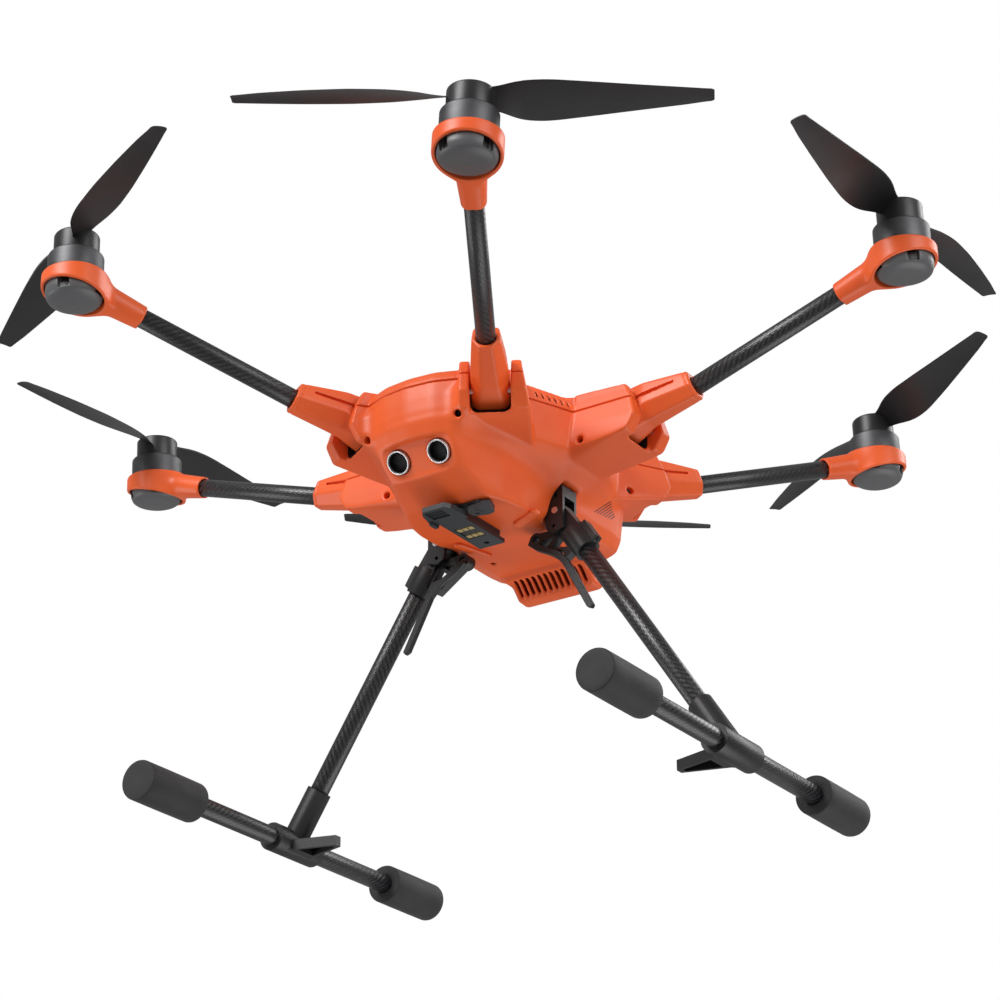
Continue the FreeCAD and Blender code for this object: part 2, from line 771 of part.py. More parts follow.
SLEEVE_STATIONS = [
    # top corner (reach, height), low corner (reach, height), half width, corner cut
    ((80.0, 211.0), (78.0, 191.8), 9.65, 2.4),
    ((84.0, 215.6), (84.0, 193.1), 9.65, 3.0),
    ((92.0, 216.2), (92.0, 195.2), 9.65, 3.2),
    ((104.0, 216.3), (104.5, 198.4), 9.1, 3.2),
]


def eight_sided(top, low, half, cut):
    """An eight-sided section whose plane leans from its top corner to its low corner."""
    rise = (top - low).normalize()
    across = Vector(0, 1, 0)
    points = [low + across * (half - cut), low + across * half + rise * cut, top + across * half - rise * cut,
              top + across * (half - cut), top - across * (half - cut), top - across * half - rise * cut,
              low - across * half + rise * cut, low - across * (half - cut)]
    return Part.makePolygon(points + points[:1])


def sleeve_shape():
    """The arm's root: flat-topped, tapering to the tube, with a heel that turns in the cup."""
    end_rad = size("sleeve_end_rad")
    end = on_axis(size("sleeve_end"))
    outward = arm_axis()[1]
    up = Vector(-outward.z, 0, outward.x)
    sections = [eight_sided(Vector(top[0], 0, top[1]), Vector(low[0], 0, low[1]), half, cut)
                for top, low, half, cut in SLEEVE_STATIONS]
    sections.append(eight_sided(end + up * end_rad, end - up * end_rad, end_rad, end_rad * 0.59))
    blank = Part.makeLoft(sections, True, True)
    reach = Vector(size("fold_reach"), -20, size("fold_height"))
    pin = rod(reach, reach + Vector(0, 40, 0), size("fold_pin_rad") + size("running_gap"))
    bore = rod(on_axis(size("tube_inner_end")), on_axis(0), size("tube_rad"))
    return largest(blank.cut([pin, bore]))


def mount_shape():
    """The motor mount: a ring whose lower rim slopes with the arm, and a neck that grips the tube."""
    circle = size("motor_circle")
    hub = size("hub_height")
    radius = size("ring_rad")
    top = hub + size("ring_top")
    side = [(circle - radius, top), (circle + radius, top), (circle + radius, hub + size("ring_low")),
            (circle - radius, hub + size("ring_heel"))]
    blank = rod(Vector(circle, 0, hub - 40), Vector(circle, 0, top), radius)
    ring = slab_y(side, -radius, radius).common(blank)
    bore = rod(Vector(circle, 0, hub - 50), Vector(circle, 0, hub), size("ring_bore"))
    grip = rod(on_axis(-60), on_axis(size("tube_outer_end")), size("tube_rad"))
    return largest(fused([ring, neck_shape()]).cut([bore, grip]))


def neck_shape():
    """A taper along the tube's axis, round where it grips the tube and oval in the ring."""
    outward = arm_axis()[1]
    up = Vector(-outward.z, 0, outward.x)
    grip_end = Part.Circle(on_axis(size("neck_end")), outward, size("neck_rad"))
    oval = Part.Ellipse(Vector(0, 0, 0), size("neck_half_width"), size("neck_half_height")).toShape()
    oval.Placement = Placement(on_axis(-11), Rotation(Vector(0, 1, 0), up, outward, "ZXY"))
    return Part.makeLoft([Part.Wire(grip_end.toShape()), Part.Wire(oval)], True)


def blade_section(reach, chord, twist, sign):
    """A thin cambered section across a blade that points along +Y."""
    nose = Vector(-chord * 0.45, reach, 0)
    tail = Vector(chord * 0.55, reach, 0)
    crown = Vector(0, reach, chord * 0.045 + 0.55)
    belly = Vector(0, reach, chord * 0.045 - 0.55)
    wire = Part.Wire([Part.Arc(nose, crown, tail).toShape(), Part.Arc(tail, belly, nose).toShape()])
    wire.rotate(Vector(0, reach, 0), Vector(0, 1, 0), sign * twist)
    return wire


BLADE_STATIONS = [
    # share of the reach, share of the widest chord, pitch
    (0.09, 0.42, 30),
    (0.20, 0.88, 24),
    (0.32, 1.00, 19),
    (0.50, 0.88, 14),
    (0.70, 0.68, 10.5),
    (0.88, 0.48, 8.5),
    (1.00, 0.30, 7.5),
]


def propeller_shape(sign):
    """Two twisted blades on a cap, drawn at the origin along Y."""
    sections = [blade_section(share * size("prop_reach"), wide * size("blade_chord"), pitch, sign)
                for share, wide, pitch in BLADE_STATIONS]
    blade = Part.makeLoft(sections, True)
    other = blade.copy()
    other.rotate(Vector(0, 0, 0), Vector(0, 0, 1), 180)
    cap = Part.makeCylinder(size("prop_hub_rad"), size("prop_hub_top") - size("prop_hub_low"),
                            Vector(0, 0, size("prop_hub_low")))
    cap = cap.makeChamfer(0.8, [edge for edge in cap.Edges if edge.Closed])
    return largest(cap.fuse([blade, other]))


def build_rotor_parts(name, place):
    base = turned_body(f"motor_base_{name}", [
        ("motor_shaft_rad + running_gap", "stator_top"), ("stator_rad", "stator_top"),
        ("stator_rad", "ring_top - 3"), ("base_rad", "ring_top - 3"), ("base_rad", "ring_low - 3"),
        ("base_rad * 0.86", "base_low + 2.6"), ("base_rad * 0.5", "base_low + 0.5"), ("0", "base_low"),
        ("0", "base_low + 8"), ("motor_shaft_rad + running_gap", "base_low + 8")])
    bell = turned_body(f"motor_bell_{name}", [
        ("0", "bell_top"), ("bell_rad - 0.8", "bell_top"), ("bell_rad", "bell_top - 0.8"),
        ("bell_rad", "bell_low"), ("bell_rad - bell_wall", "bell_low"),
        ("bell_rad - bell_wall", "bell_top - 2"), ("motor_shaft_rad", "bell_top - 2"),
        ("motor_shaft_rad", "base_low + 8.5"), ("0", "base_low + 8.5")])
    base.Placement = place
    bell.Placement = place


def build_arms():
    for name, bearing in ARMS.items():
        turn = arm_turn(bearing)
        lean, hub = motor_turn(bearing)
        add_shape(f"arm_sleeve_{name}", sleeve_shape(), turn)
        build_tube(name, turn)
        add_shape(f"motor_mount_{name}", mount_shape(), lean)
        build_rotor_parts(name, lean.multiply(hub))
        add_shape(f"propeller_{name}", propeller_shape(cant_sign(bearing)), lean.multiply(hub))


def build_tube(name, turn):
    """A plain carbon tube: one cylinder cut from another."""
    along = Rotation(Vector(0, 0, 1), arm_axis()[1])
    start = on_axis(size("tube_inner_end"))
    pieces = []
    for part, radius in (("outside", "Sizes.tube_rad"), ("inside", "Sizes.tube_rad - Sizes.tube_wall")):
        cylinder = doc.addObject("Part::Cylinder", f"tube_{part}_{name}")
        cylinder.setExpression("Radius", radius)
        cylinder.setExpression("Height", "Sizes.tube_outer_end - Sizes.tube_inner_end")
        cylinder.Placement = turn.multiply(Placement(start, along))
        pieces.append(cylinder)
    tube = doc.addObject("Part::Cut", f"arm_tube_{name}")
    tube.Base, tube.Tool = pieces
    keep(tube, f"arm_tube_{name}")


# ---------------------------------------------------------------- build and write

def check(feature):
    if {"Invalid", "Error"} & set(feature.State) or feature.Shape.isNull() or not feature.Shape.isValid():
        raise RuntimeError(f"{feature.Label} did not build: {feature.State}")


build_shells()
build_screws()
build_pins()
build_inside()
build_button()
build_sonar()
build_dock()
build_gear()
build_arms()
doc.recompute()

for feature in nodes:
    check(feature)
os.makedirs("parts", exist_ok=True)
for feature in nodes:
    feature.Shape.exportStep(f"parts/{feature.Label}.step")
print(f"{len(nodes)} sub-parts written")
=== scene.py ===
import json
import math

import bmesh
import bpy
import numpy as np
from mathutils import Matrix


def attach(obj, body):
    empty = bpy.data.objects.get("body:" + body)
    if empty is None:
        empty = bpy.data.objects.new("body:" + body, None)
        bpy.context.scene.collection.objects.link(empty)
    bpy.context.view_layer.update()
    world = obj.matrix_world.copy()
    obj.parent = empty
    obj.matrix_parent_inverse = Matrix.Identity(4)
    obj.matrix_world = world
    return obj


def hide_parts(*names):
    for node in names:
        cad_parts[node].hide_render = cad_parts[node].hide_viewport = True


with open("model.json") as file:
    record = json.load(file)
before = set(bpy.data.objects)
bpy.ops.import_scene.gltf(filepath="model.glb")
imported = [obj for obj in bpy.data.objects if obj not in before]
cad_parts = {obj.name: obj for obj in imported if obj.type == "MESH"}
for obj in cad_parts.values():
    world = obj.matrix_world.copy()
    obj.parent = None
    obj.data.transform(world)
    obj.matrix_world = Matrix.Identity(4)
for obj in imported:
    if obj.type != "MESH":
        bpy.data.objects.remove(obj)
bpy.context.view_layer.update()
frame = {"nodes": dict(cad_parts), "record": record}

import openvdb
from mathutils import Matrix, Vector

# The looks of the six-arm folding drone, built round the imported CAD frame. Lengths are in
# millimetres in the CAD row's frame (+Z up, nose towards -Y, +X the drone's left), and become
# metres when a mesh is made.

MM = 0.001

ARMS = {
    "front_left": 30.0,
    "mid_left": 90.0,
    "rear_left": 150.0,
    "rear_right": 210.0,
    "mid_right": 270.0,
    "front_right": 330.0,
}
SIDES = {"left": 1, "right": -1}


# ---------------- arm frames

MOTOR_CIRCLE = 240.0
HUB_HEIGHT = 272.6
MOTOR_CANT = 2.87
ARM_SLOPE = math.radians(18.0)
AXIS_DROP = 23.95
OUTWARD = Vector((math.cos(ARM_SLOPE), 0, math.sin(ARM_SLOPE)))
AXIS_POINT = Vector((MOTOR_CIRCLE, 0, HUB_HEIGHT - AXIS_DROP))


def arm_turn(bearing):
    """Turns a piece drawn along +X to an arm's bearing from the nose."""
    return Matrix.Rotation(math.radians(bearing - 90), 4, "Z")


def on_axis(distance):
    """The point of the tube's axis at a distance from the motor circle."""
    return AXIS_POINT + OUTWARD * distance


def cant_sign(bearing):
    """Neighbouring motors lean towards each other in pairs, round the circle."""
    return -1 if round((bearing - 30) / 60) % 2 == 0 else 1


def motor_turn(bearing):
    """Rolls a motor about its arm's axis, then turns it to the arm's bearing."""
    roll = Matrix.Rotation(math.radians(cant_sign(bearing) * MOTOR_CANT), 4, OUTWARD)
    lean = Matrix.Translation(AXIS_POINT) @ roll @ Matrix.Translation(-AXIS_POINT)
    return arm_turn(bearing) @ lean


def hub_turn(bearing):
    """The same, for a piece drawn round its own motor's axis with the propeller at z = 0."""
    return motor_turn(bearing) @ Matrix.Translation((MOTOR_CIRCLE, 0, HUB_HEIGHT))


# ---------------- pieces

def add_piece(mesh, body, look, replaced=()):
    """Links a finished mesh as a piece of the same name that rides on a body."""
    piece = bpy.data.objects.new(mesh.name, mesh)
    bpy.context.scene.collection.objects.link(piece)
    mesh.materials.clear()
    mesh.materials.append(LOOKS[look])
    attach(piece, body)
    if replaced:
        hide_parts(*replaced)
    return piece


def mesh_from(name, points, faces, place=None):
    """A mesh from millimetre points, set in place in the row frame."""
    points = np.asarray(points, float)
    if place is not None:
        turn = np.array(place)
        points = points @ turn[:3, :3].T + turn[:3, 3]
    mesh = bpy.data.meshes.new(name)
    mesh.from_pydata((points * MM).tolist(), [], faces)
    mesh.validate()
    mesh.shade_smooth()
    return mesh


def moved(mesh, name, place):
    """A copy of a metre mesh, moved by a millimetre placement."""
    copy = mesh.copy()
    copy.name = name
    scaled = place.copy()
    scaled.translation = place.translation * MM
    copy.transform(scaled)
    return copy


def aimed(facing):
    """Turns a piece drawn along +Z to face a direction."""
    return Vector((0, 0, 1)).rotation_difference(Vector(facing)).to_matrix().to_4x4()


def ring_faces(rings, spokes):
    """The quads between rings of points that follow each other."""
    faces = []
    for start in range(0, (rings - 1) * spokes, spokes):
        for index in range(spokes):
            after = (index + 1) % spokes
            faces.append((start + index, start + after, start + spokes + after, start + spokes + index))
    return faces


# ---------------- distance fields

FAR = 50.0


class Block:
    """A block of sample points on which a solid is built up as a distance field."""

    def __init__(self, low, high, step):
        self.step = step
        self.low = np.array(low, float)
        counts = np.ceil((np.array(high) - self.low) / step).astype(int) + 1
        lines = [(self.low[i] + step * np.arange(counts[i])).astype(np.float32) for i in range(3)]
        self.axes = list(np.ix_(*lines))
        self.field = np.full(counts, FAR, np.float32)

    def window(self, low, high):
        """The part of the block between two corners, sharing its samples."""
        part = object.__new__(Block)
        part.step = self.step
        lines, slices = [], []
        for axis, least, most in zip(self.axes, low, high):
            values = axis.ravel()
            first, last = np.searchsorted(values, (least, most))
            slices.append(slice(first, max(last, first + 1)))
            lines.append(values[slices[-1]])
        part.axes = list(np.ix_(*lines))
        part.low = np.array([line[0] for line in lines], float)
        part.field = self.field[tuple(slices)]
        return part

    def join(self, other, blend=0.0):
        self.field[...] = soft_min(self.field, other, blend)

    def keep_in(self, other, blend=0.0):
        self.field[...] = soft_max(self.field, other, blend)

    def cut(self, other, blend=0.0):
        self.field[...] = soft_max(self.field, -other, blend)

    def soften(self, passes):
        """Rounds every edge and corner by about the root of the passes, in steps."""
        for _ in range(passes):
            for axis in range(3):
                lines = np.moveaxis(self.field, axis, 0)
                ahead = np.concatenate([lines[1:], lines[-2:-1]])
                behind = np.concatenate([lines[1:2], lines[:-1]])
                lines[...] = lines * 0.5 + (ahead + behind) * 0.25


def span(points, margin):
    """The two corners of a box round some points."""
    return [min(line) - margin for line in zip(*points)], [max(line) + margin for line in zip(*points)]


def soft_min(a, b, blend):
    """The union of two solids, with a fillet where they meet."""
    if np.all(blend <= 0):
        return np.minimum(a, b)
    near = np.maximum(blend - np.abs(a - b), 0) / blend
    return np.minimum(a, b) - near * near * blend / 4


def soft_max(a, b, blend):
    """The overlap of two solids, with a softened edge."""
    return -soft_min(-a, -b, blend)


def turned(u, v, angle):
    """The same place read along two axes turned by an angle."""
    return u * math.cos(angle) + v * math.sin(angle), v * math.cos(angle) - u * math.sin(angle)


def round_off(a, b, radius):
    """The overlap of two solids, with a circular edge where they meet."""
    past_a = np.maximum(a + radius, 0)
    past_b = np.maximum(b + radius, 0)
    return np.minimum(np.maximum(a, b) + radius, 0) + np.hypot(past_a, past_b) - radius


def outline(u, v, corners):
    """Signed distance from a closed outline, negative inside."""
    shape = np.broadcast(u, v).shape
    near = np.full(shape, 1e9, np.float32)
    inside = np.zeros(shape, bool)
    for (ax, ay), (bx, by) in zip(corners, corners[1:] + corners[:1]):
        ex, ey = bx - ax, by - ay
        share = np.clip(((u - ax) * ex + (v - ay) * ey) / (ex * ex + ey * ey), 0, 1)
        near = np.minimum(near, (u - ax - ex * share) ** 2 + (v - ay - ey * share) ** 2)
        if ay != by:
            crosses = (ay > v) != (by > v)
            inside ^= crosses & (u < (v - ay) * ex / ey + ax)
    return np.where(inside, -1, 1) * np.sqrt(near)


def slot_shape(u, v, half_long, half_wide):
    """Signed distance from a slot with round ends, long in u."""
    past = np.maximum(np.abs(u) - (half_long - half_wide), 0)
    return np.hypot(past, v) - half_wide


def cylinder(axes, start, end, radius):
    """Signed distance from a capped cylinder between two points."""
    along = np.array(end, float) - np.array(start, float)
    length = np.linalg.norm(along)
    along /= length
    px, py, pz = (axis - start[i] for i, axis in enumerate(axes))
    run = px * along[0] + py * along[1] + pz * along[2]
    out = np.sqrt(np.maximum(px * px + py * py + pz * pz - run * run, 0)) - radius
    return np.maximum(out, np.maximum(-run, run - length))


def rounded_outline(corners, passes=2, trim=0.10):
    """Cuts the corners of a closed outline, for a smooth plan."""
    for _ in range(passes):
        cut = []
        for (ax, ay), (bx, by) in zip(corners, corners[1:] + corners[:1]):
            cut += [((1 - part) * ax + part * bx, (1 - part) * ay + part * by) for part in (trim, 1 - trim)]
        corners = cut
    return corners


def lofted(block, levels, spacing=1.5):
    """Distance from a solid whose plan changes with height; levels are (height, outline)."""
    heights = [height for height, _ in levels]
    plans = [np.array(plan, float) for _, plan in levels]
    samples = np.arange(heights[0], heights[-1] + spacing, spacing)
    slices = []
    for height in samples:
        index = min(int(np.searchsorted(heights, height, "right")) - 1, len(levels) - 2)
        share = (height - heights[index]) / (heights[index + 1] - heights[index])
        plan = plans[index] * (1 - share) + plans[index + 1] * share
        corners = rounded_outline([tuple(point) for point in plan])
        slices.append(outline(block.axes[0], block.axes[1], corners)[:, :, 0])
    stack = np.stack(slices, axis=2)
    position = (block.axes[2].ravel() - samples[0]) / spacing
    low = np.clip(position.astype(int), 0, len(samples) - 2)
    share = np.clip(position - low, 0, 1).astype(np.float32)
    field = stack[:, :, low] * (1 - share) + stack[:, :, low + 1] * share
    steepness = np.gradient(field, block.step, axis=2)
    field = field / np.sqrt(1 + np.clip(steepness, -3, 3) ** 2)
    ends = np.maximum(heights[0] - block.axes[2], block.axes[2] - heights[-1])
    return np.maximum(field, ends)


def skin(block, name, mirror=False):
    """The surface of a distance field as a mesh in metres."""
    field = block.field
    low = block.low
    if mirror:
        field = np.concatenate([field[:0:-1], field], axis=0)
        low = np.array([-(block.step * (block.field.shape[0] - 1)), low[1], low[2]])
    near = np.clip(field, -3 * block.step, 3 * block.step)
    grid = openvdb.FloatGrid(background=3 * block.step)
    grid.copyFromArray(np.ascontiguousarray(near, np.float32))
    points, triangles, quads = grid.convertToPolygons(isovalue=0.0, adaptivity=0.0)
    points = points * block.step + low
    faces = [tuple(face[::-1]) for face in quads.tolist()]
    faces += [tuple(face[::-1]) for face in triangles.tolist()]
    return mesh_from(name, points, faces)


# ---------------- body shells

PARTING = 205.6
HULL_TOP = 231.0
BELLY = 152.6
WALL = 2.0
SHELL_STEP = 0.6
BODY_LOW = (0, -98, 136)
BODY_HIGH = (100, 98, 236)
SHAPE_PASSES = 2
EDGE_PASSES = 1


def whole_plan(half):
    """Both halves of a plan from its left half, nose to tail."""
    return half + [(-x, y) for x, y in reversed(half[1:-1])]


SAUCER = [
    # height, then half plan from the nose to the tail: the wide upper body
    (164.0, [(0, -50), (12, -48), (20, -44), (27, -30), (33, -12), (33, 12), (30, 32), (30, 48), (0, 52)]),
    (172.0, [(0, -66), (13, -64), (23, -58), (34, -35), (43, -13), (43, 13), (38, 38), (34, 55), (0, 60)]),
    (179.0, [(0, -83), (14, -81.5), (27, -74), (42, -40), (51.5, -15), (51.5, 15), (43, 41), (36.5, 60),
             (0, 65)]),
    (184.0, [(0, -86.3), (15, -85), (29, -79.5), (46, -43), (56.2, -15.5), (56.2, 15.5), (45.4, 43),
             (37.6, 62), (0, 67.5)]),
    (190.0, [(0, -88.1), (15, -86.7), (29.5, -81), (46.5, -43.3), (56.9, -15.5), (56.9, 15.5),
             (46, 43.3), (38, 62), (0, 68)]),
    (198.0, [(0, -88.5), (15, -87), (29.5, -81.3), (46.5, -43.3), (57, -15.5), (57, 15.5), (46, 43.3),
             (38, 62), (0, 68)]),
    (207.0, [(0, -88), (15, -86.5), (29, -81), (46, -43.3), (56.8, -15.5), (56.8, 15.5), (46, 43.3),
             (38, 62), (0, 68)]),
    (211.5, [(0, -86), (15, -84.5), (27.5, -79.5), (45.3, -43), (55.8, -15.5), (55.8, 15.5), (45.3, 43),
             (37, 61), (0, 66.3)]),
    (216.0, [(0, -76.5), (13, -75.5), (25, -70.5), (42, -40.5), (51.5, -15), (51.5, 15), (42, 40.5),
             (34, 57), (0, 61)]),
    (222.0, [(0, -60), (11, -59), (20, -55), (32, -33), (36, -12), (36, 12), (32, 33), (26, 46), (0, 50)]),
    (227.0, [(0, -44), (8, -43), (15, -39), (22, -24), (25, -8), (25, 8), (22, 24), (16, 33), (0, 36)]),
    (HULL_TOP, [(0, -28), (5, -27), (10, -24), (13, -15), (14, -5), (14, 5), (13, 15), (9, 21), (0, 23)]),
]
KEEL = [
    # the nose's beak and the belly box under the saucer
    (150.0, [(0, -50), (12, -50), (24.5, -47), (28.8, -40), (31.8, -27), (31.2, -12), (27, -5),
             (27, 10), (27, 45), (24, 56), (0, 58)]),
    (152.6, [(0, -54), (12, -53.9), (24.8, -50.8), (29.5, -42.5), (32.3, -28), (31.8, -13),
             (27.2, -5.5), (27.2, 10), (27.2, 45), (24, 56), (0, 58)]),
    (157.0, [(0, -61), (13, -60.6), (24, -57.5), (30.5, -44), (33.4, -29), (33.4, -10), (34, 0),
             (38, 9), (38.3, 45), (37, 57), (0, 60)]),
    (163.5, [(0, -71.5), (14, -71), (21.8, -68.8), (31.3, -46), (34.8, -29.5), (35.4, -10), (36.5, 0),
             (40.5, 9), (41, 48), (39, 58), (0, 61)]),
    (172.0, [(0, -79.6), (14, -79), (23, -76), (32.5, -49), (36.5, -31), (37.5, -10), (39, 0), (42, 9),
             (42.3, 49), (39.5, 58.5), (0, 62)]),
    (180.0, [(0, -84.6), (14, -83.5), (24.5, -80), (34, -51), (38, -32.5), (39.5, -10), (41.5, 0),
             (43.5, 9), (43.5, 50), (39.5, 60), (0, 64)]),
    (186.0, [(0, -87.0), (14, -85.5), (26, -81.5), (36, -53), (39, -33), (40, -10), (42, 0), (44, 9),
             (44, 50), (39.5, 60), (0, 64)]),
]
LEFT_ARMS = {30.0: 1, 90.0: 0, 150.0: -1}  # bearing, then which side of the arm the middle arm is on
BAY_PROFILE = [(30, 216.4), (60, 215.8), (86.8, 214.4), (90.4, 207), (93.5, 195), (88.4, 186.4),
               (57, 180.4), (40, 177), (30, 176)]
BAY_HALF = 15.9
POCKET_HALF = 10.5
POCKET_BACK = 75.4
POCKET_FLOOR = 186.7
POCKET_LIP = 84.6
BAY_FLARE = 4.2
EYE = Vector((12.4, -76.5, 171.0))
EYE_TILT = math.radians(35.0)
EYE_RADIUS = 6.3


def arm_axes(block, bearing):
    """Distance out along an arm, and across it, at every sample."""
    return turned(block.axes[0], block.axes[1], math.radians(bearing - 90))


def arm_window(block, bearing):
    """The part of a block that one arm's bay takes up, on the left side."""
    angle = math.radians(bearing - 90)
    corners = [(r * math.cos(angle) - t * math.sin(angle), r * math.sin(angle) + t * math.cos(angle))
               for r in (28, 98) for t in (-20, 20)]
    low, high = span(corners, 0)
    return block.window([max(low[0], -1), low[1], 166], [*high, 222])


def add_bays(block):
    """The three left bays; the outer two flare, with crisp edges, only towards the middle arm."""
    for bearing, middle_side in LEFT_ARMS.items():
        part = arm_window(block, bearing)
        reach, across = arm_axes(part, bearing)
        flared = middle_side * across >= 0
        half = BAY_HALF + BAY_FLARE * np.clip((212.0 - part.axes[2]) / 25.0, 0, 1) * flared
        beside = (np.abs(across) - half) * 0.985
        under = (180.4 + (reach - 57.0) * 0.188 - part.axes[2]) * 0.983
        crisp = middle_side * across > 0
        rounding = np.where(crisp, 1.2, np.interp(reach, (57, 80), (8.0, 4.2)))
        bay = round_off(under, beside, rounding)
        side = outline(reach, part.axes[2], BAY_PROFILE)
        part.join(soft_max(bay, side, 0.7))


def eye_frame(block):
    """Along the look of the sensors, and up across their panel, from the panel's middle."""
    back, up = turned(block.axes[1] - EYE.y, block.axes[2] - EYE.z, EYE_TILT)
    return -back, up


def cut_eye_panel(block):
    """The flat panel under the brow: a flat cut, deeper at its top edge."""
    part = block.window([-1, -95, 156], [32, -50, 190])
    look, up = eye_frame(part)
    x = part.axes[0]
    ceiling = up - 9.0 + 1.6 * (x / 21.0) ** 2 - 0.25 * look
    panel = round_off(ceiling, x - 21.6, 5.0)
    part.cut(np.maximum(np.maximum(panel, -8.9 - up), -look - 1.1), 0.3)
    part.cut(np.maximum(panel, -look - 0.5), 0.3)


TAIL_PROFILE = [(41.0, 153.5), (52.6, 141.4), (60.5, 140.8), (65.0, 144.5), (67.2, 168.0), (60, 190),
                (41.0, 190)]


def add_tail(block):
    """The box that hangs at the tail, with the vents in its lower face."""
    part = block.window([-1, 34, 136], [32, 75, 192])
    x, y, z = part.axes
    part.join(soft_max(outline(y, z, TAIL_PROFILE), x - 24.5, 2.5), 2.5)


def cut_pockets(block):
    """The slots in which the arms' roots swing."""
    for bearing in LEFT_ARMS:
        part = arm_window(block, bearing)
        reach, across = arm_axes(part, bearing)
        z = part.axes[2]
        floor = np.where(reach > POCKET_LIP, 170.0, POCKET_FLOOR)
        room = round_off(floor - z, np.abs(across) - POCKET_HALF, 4.2)
        part.cut(np.maximum(room, POCKET_BACK - reach), 0.5)


BATTERY_HALF_WIDE = 25.6
BATTERY_HALF_TALL = 17.6
BATTERY_MIDDLE = 180.0
BATTERY_FRONT = -23.0
FACE_VENTS = 12
FACE_VENT_PITCH = 3.7
TOP_VENTS = 7
TOP_VENT_START = (45.5, -38.0)
TOP_VENT_STEP = (1.1, 3.6)
TOP_VENT_TURN = math.radians(24)
BELLY_HOLE = (20.6, 22.9)
BUTTON_Y = 10.0
EYE_LOOK = Vector((0, -math.cos(EYE_TILT), -math.sin(EYE_TILT)))


def cut_battery_bay(block):
    """The room that the battery slides into from the tail."""
    x, y, z = block.axes
    room = np.maximum(np.abs(x) - BATTERY_HALF_WIDE, np.abs(z - BATTERY_MIDDLE) - BATTERY_HALF_TALL)
    block.cut(np.maximum(room, BATTERY_FRONT - y), 0.8)


def cut_gear_notch(block):
    """The notch in the belly's side for a landing-gear bracket."""
    part = block.window([26, -9, 138], [64, 9, 176])
    x, y, z = part.axes
    notch = np.maximum(30.2 - x, np.abs(y) - 7.1)
    part.cut(soft_max(notch, z - 173.5, 1.0), 1.0)


def cut_face_vents(block):
    """The row of slots in the tail's lower face."""
    part = block.window([-1, 38, 138], [26, 58, 158])
    x, y, z = part.axes
    for index in range(FACE_VENTS):
        spot = (index - (FACE_VENTS - 1) / 2) * FACE_VENT_PITCH
        slot = np.maximum(np.abs(x - spot) - 0.95, np.abs(y - 47.6) - 4.2)
        part.cut(np.maximum(slot, z - 160), 0.3)


def cut_top_vents(block):
    """The row of slots on the shoulder between the front and middle bays."""
    part = block.window([27, -50, 207], [62, 0, 228])
    for index in range(TOP_VENTS):
        dx = part.axes[0] - (TOP_VENT_START[0] + index * TOP_VENT_STEP[0])
        dy = part.axes[1] - (TOP_VENT_START[1] + index * TOP_VENT_STEP[1])
        slot = slot_shape(*turned(dx, dy, TOP_VENT_TURN), 4.6, 0.8)
        part.cut(np.maximum(slot, 208.0 - part.axes[2]), 0.3)


def cut_bores(block):
    """The belly's screw hole, the button's hole and the sensors' bore."""
    part = block.window([15, 18, 148], [26, 28, 160])
    part.cut(cylinder(part.axes, (*BELLY_HOLE, 148), (*BELLY_HOLE, 158), 1.6), 0.3)
    part = block.window([-1, 0, 222], [10, 20, 236])
    part.cut(cylinder(part.axes, (0, BUTTON_Y, 220), (0, BUTTON_Y, 240), 5.4), 0.5)
    part = block.window([0, -100, 155], [26, -60, 188])
    part.cut(cylinder(part.axes, EYE - EYE_LOOK * 9, EYE + EYE_LOOK * 20, EYE_RADIUS + 0.25), 0.3)


SCREW_SEATS = (
    # bearing of the arm; reach, side step and height of the floor; which way the seat faces
    (30.0, (80.4, -15.6, 188.4), (0.85, -0.2, -0.487)),
    (30.0, (67.0, 16.4, 187.6), (0, 1, 0)),
    (90.0, (61.0, -15.2, 187.8), (0, -1, 0)),
    (90.0, (61.0, 15.2, 187.8), (0, 1, 0)),
    (150.0, (67.0, -16.4, 187.6), (0, -1, 0)),
)


def cut_screw_seats(block):
    """A round seat in a bay's flank for each screw."""
    for bearing, floor, facing in SCREW_SEATS:
        turn = arm_turn(bearing)
        start = turn @ Vector(floor)
        end = turn @ (Vector(floor) + Vector(facing) * 14)
        part = block.window(*span((start, end), 4))
        part.cut(cylinder(part.axes, start, end, 2.0), 0.4)


def build_screws():
    """Dark socket-head screws at the bottom of their seats."""
    head = rounded_profile([(1.85, -1.0), (1.85, 0.5), (1.0, 0.5), (0.95, -0.5), (0, -0.5)], 0.2, 3)
    for index, (bearing, floor, facing) in enumerate(SCREW_SEATS):
        for side_name, mirror in SIDES.items():
            turn = Matrix.Diagonal((mirror, 1, 1, 1)) @ arm_turn(bearing)
            place = turn @ Matrix.Translation(floor) @ aimed(facing)
            mesh = turned_mesh(f"screw_{index}_{side_name}", head, place, 32)
            add_piece(mesh, "airframe", "black_plastic", ["shell_screws"])


# painted shade: the section, across and up, of the black sheet laid in each arm's pocket
SHADE_SHEET_SECTION = [(10.4, 203.0), (10.4, 196.0), (10.4, 191.0), (10.1, 189.4), (9.2, 187.9), (7.9, 187.05),
                 (6.4, 186.78)]


def build_pocket_shade_sheets():
    """Painted shade: a thin black sheet over each pocket's walls and floor, where the arm's heel swings,
    darkening the pocket where it lies in shade.
    """
    rows = SHADE_SHEET_SECTION + [(-t, z) for t, z in reversed(SHADE_SHEET_SECTION)]
    for name, bearing in ARMS.items():
        points = [(reach, t, z) for reach in (POCKET_BACK + 0.12, POCKET_LIP - 0.5) for t, z in rows]
        count = len(rows)
        faces = [(index, index + 1, count + index + 1, count + index) for index in range(count - 1)]
        faces.append(tuple(range(count)))
        mesh = mesh_from(f"pocket_shade_sheet_{name}", points, faces, arm_turn(bearing))
        mesh.set_sharp_from_angle(angle=math.radians(40))
        add_piece(mesh, "airframe", "black_plastic")


BELLY_RIBS = (
    # start and end of each short raised rib beside the camera dock
    ((34.0, -20.5), (20.5, -14.5)),
    ((-21.0, -9.0), (-16.0, 10.0)),
)


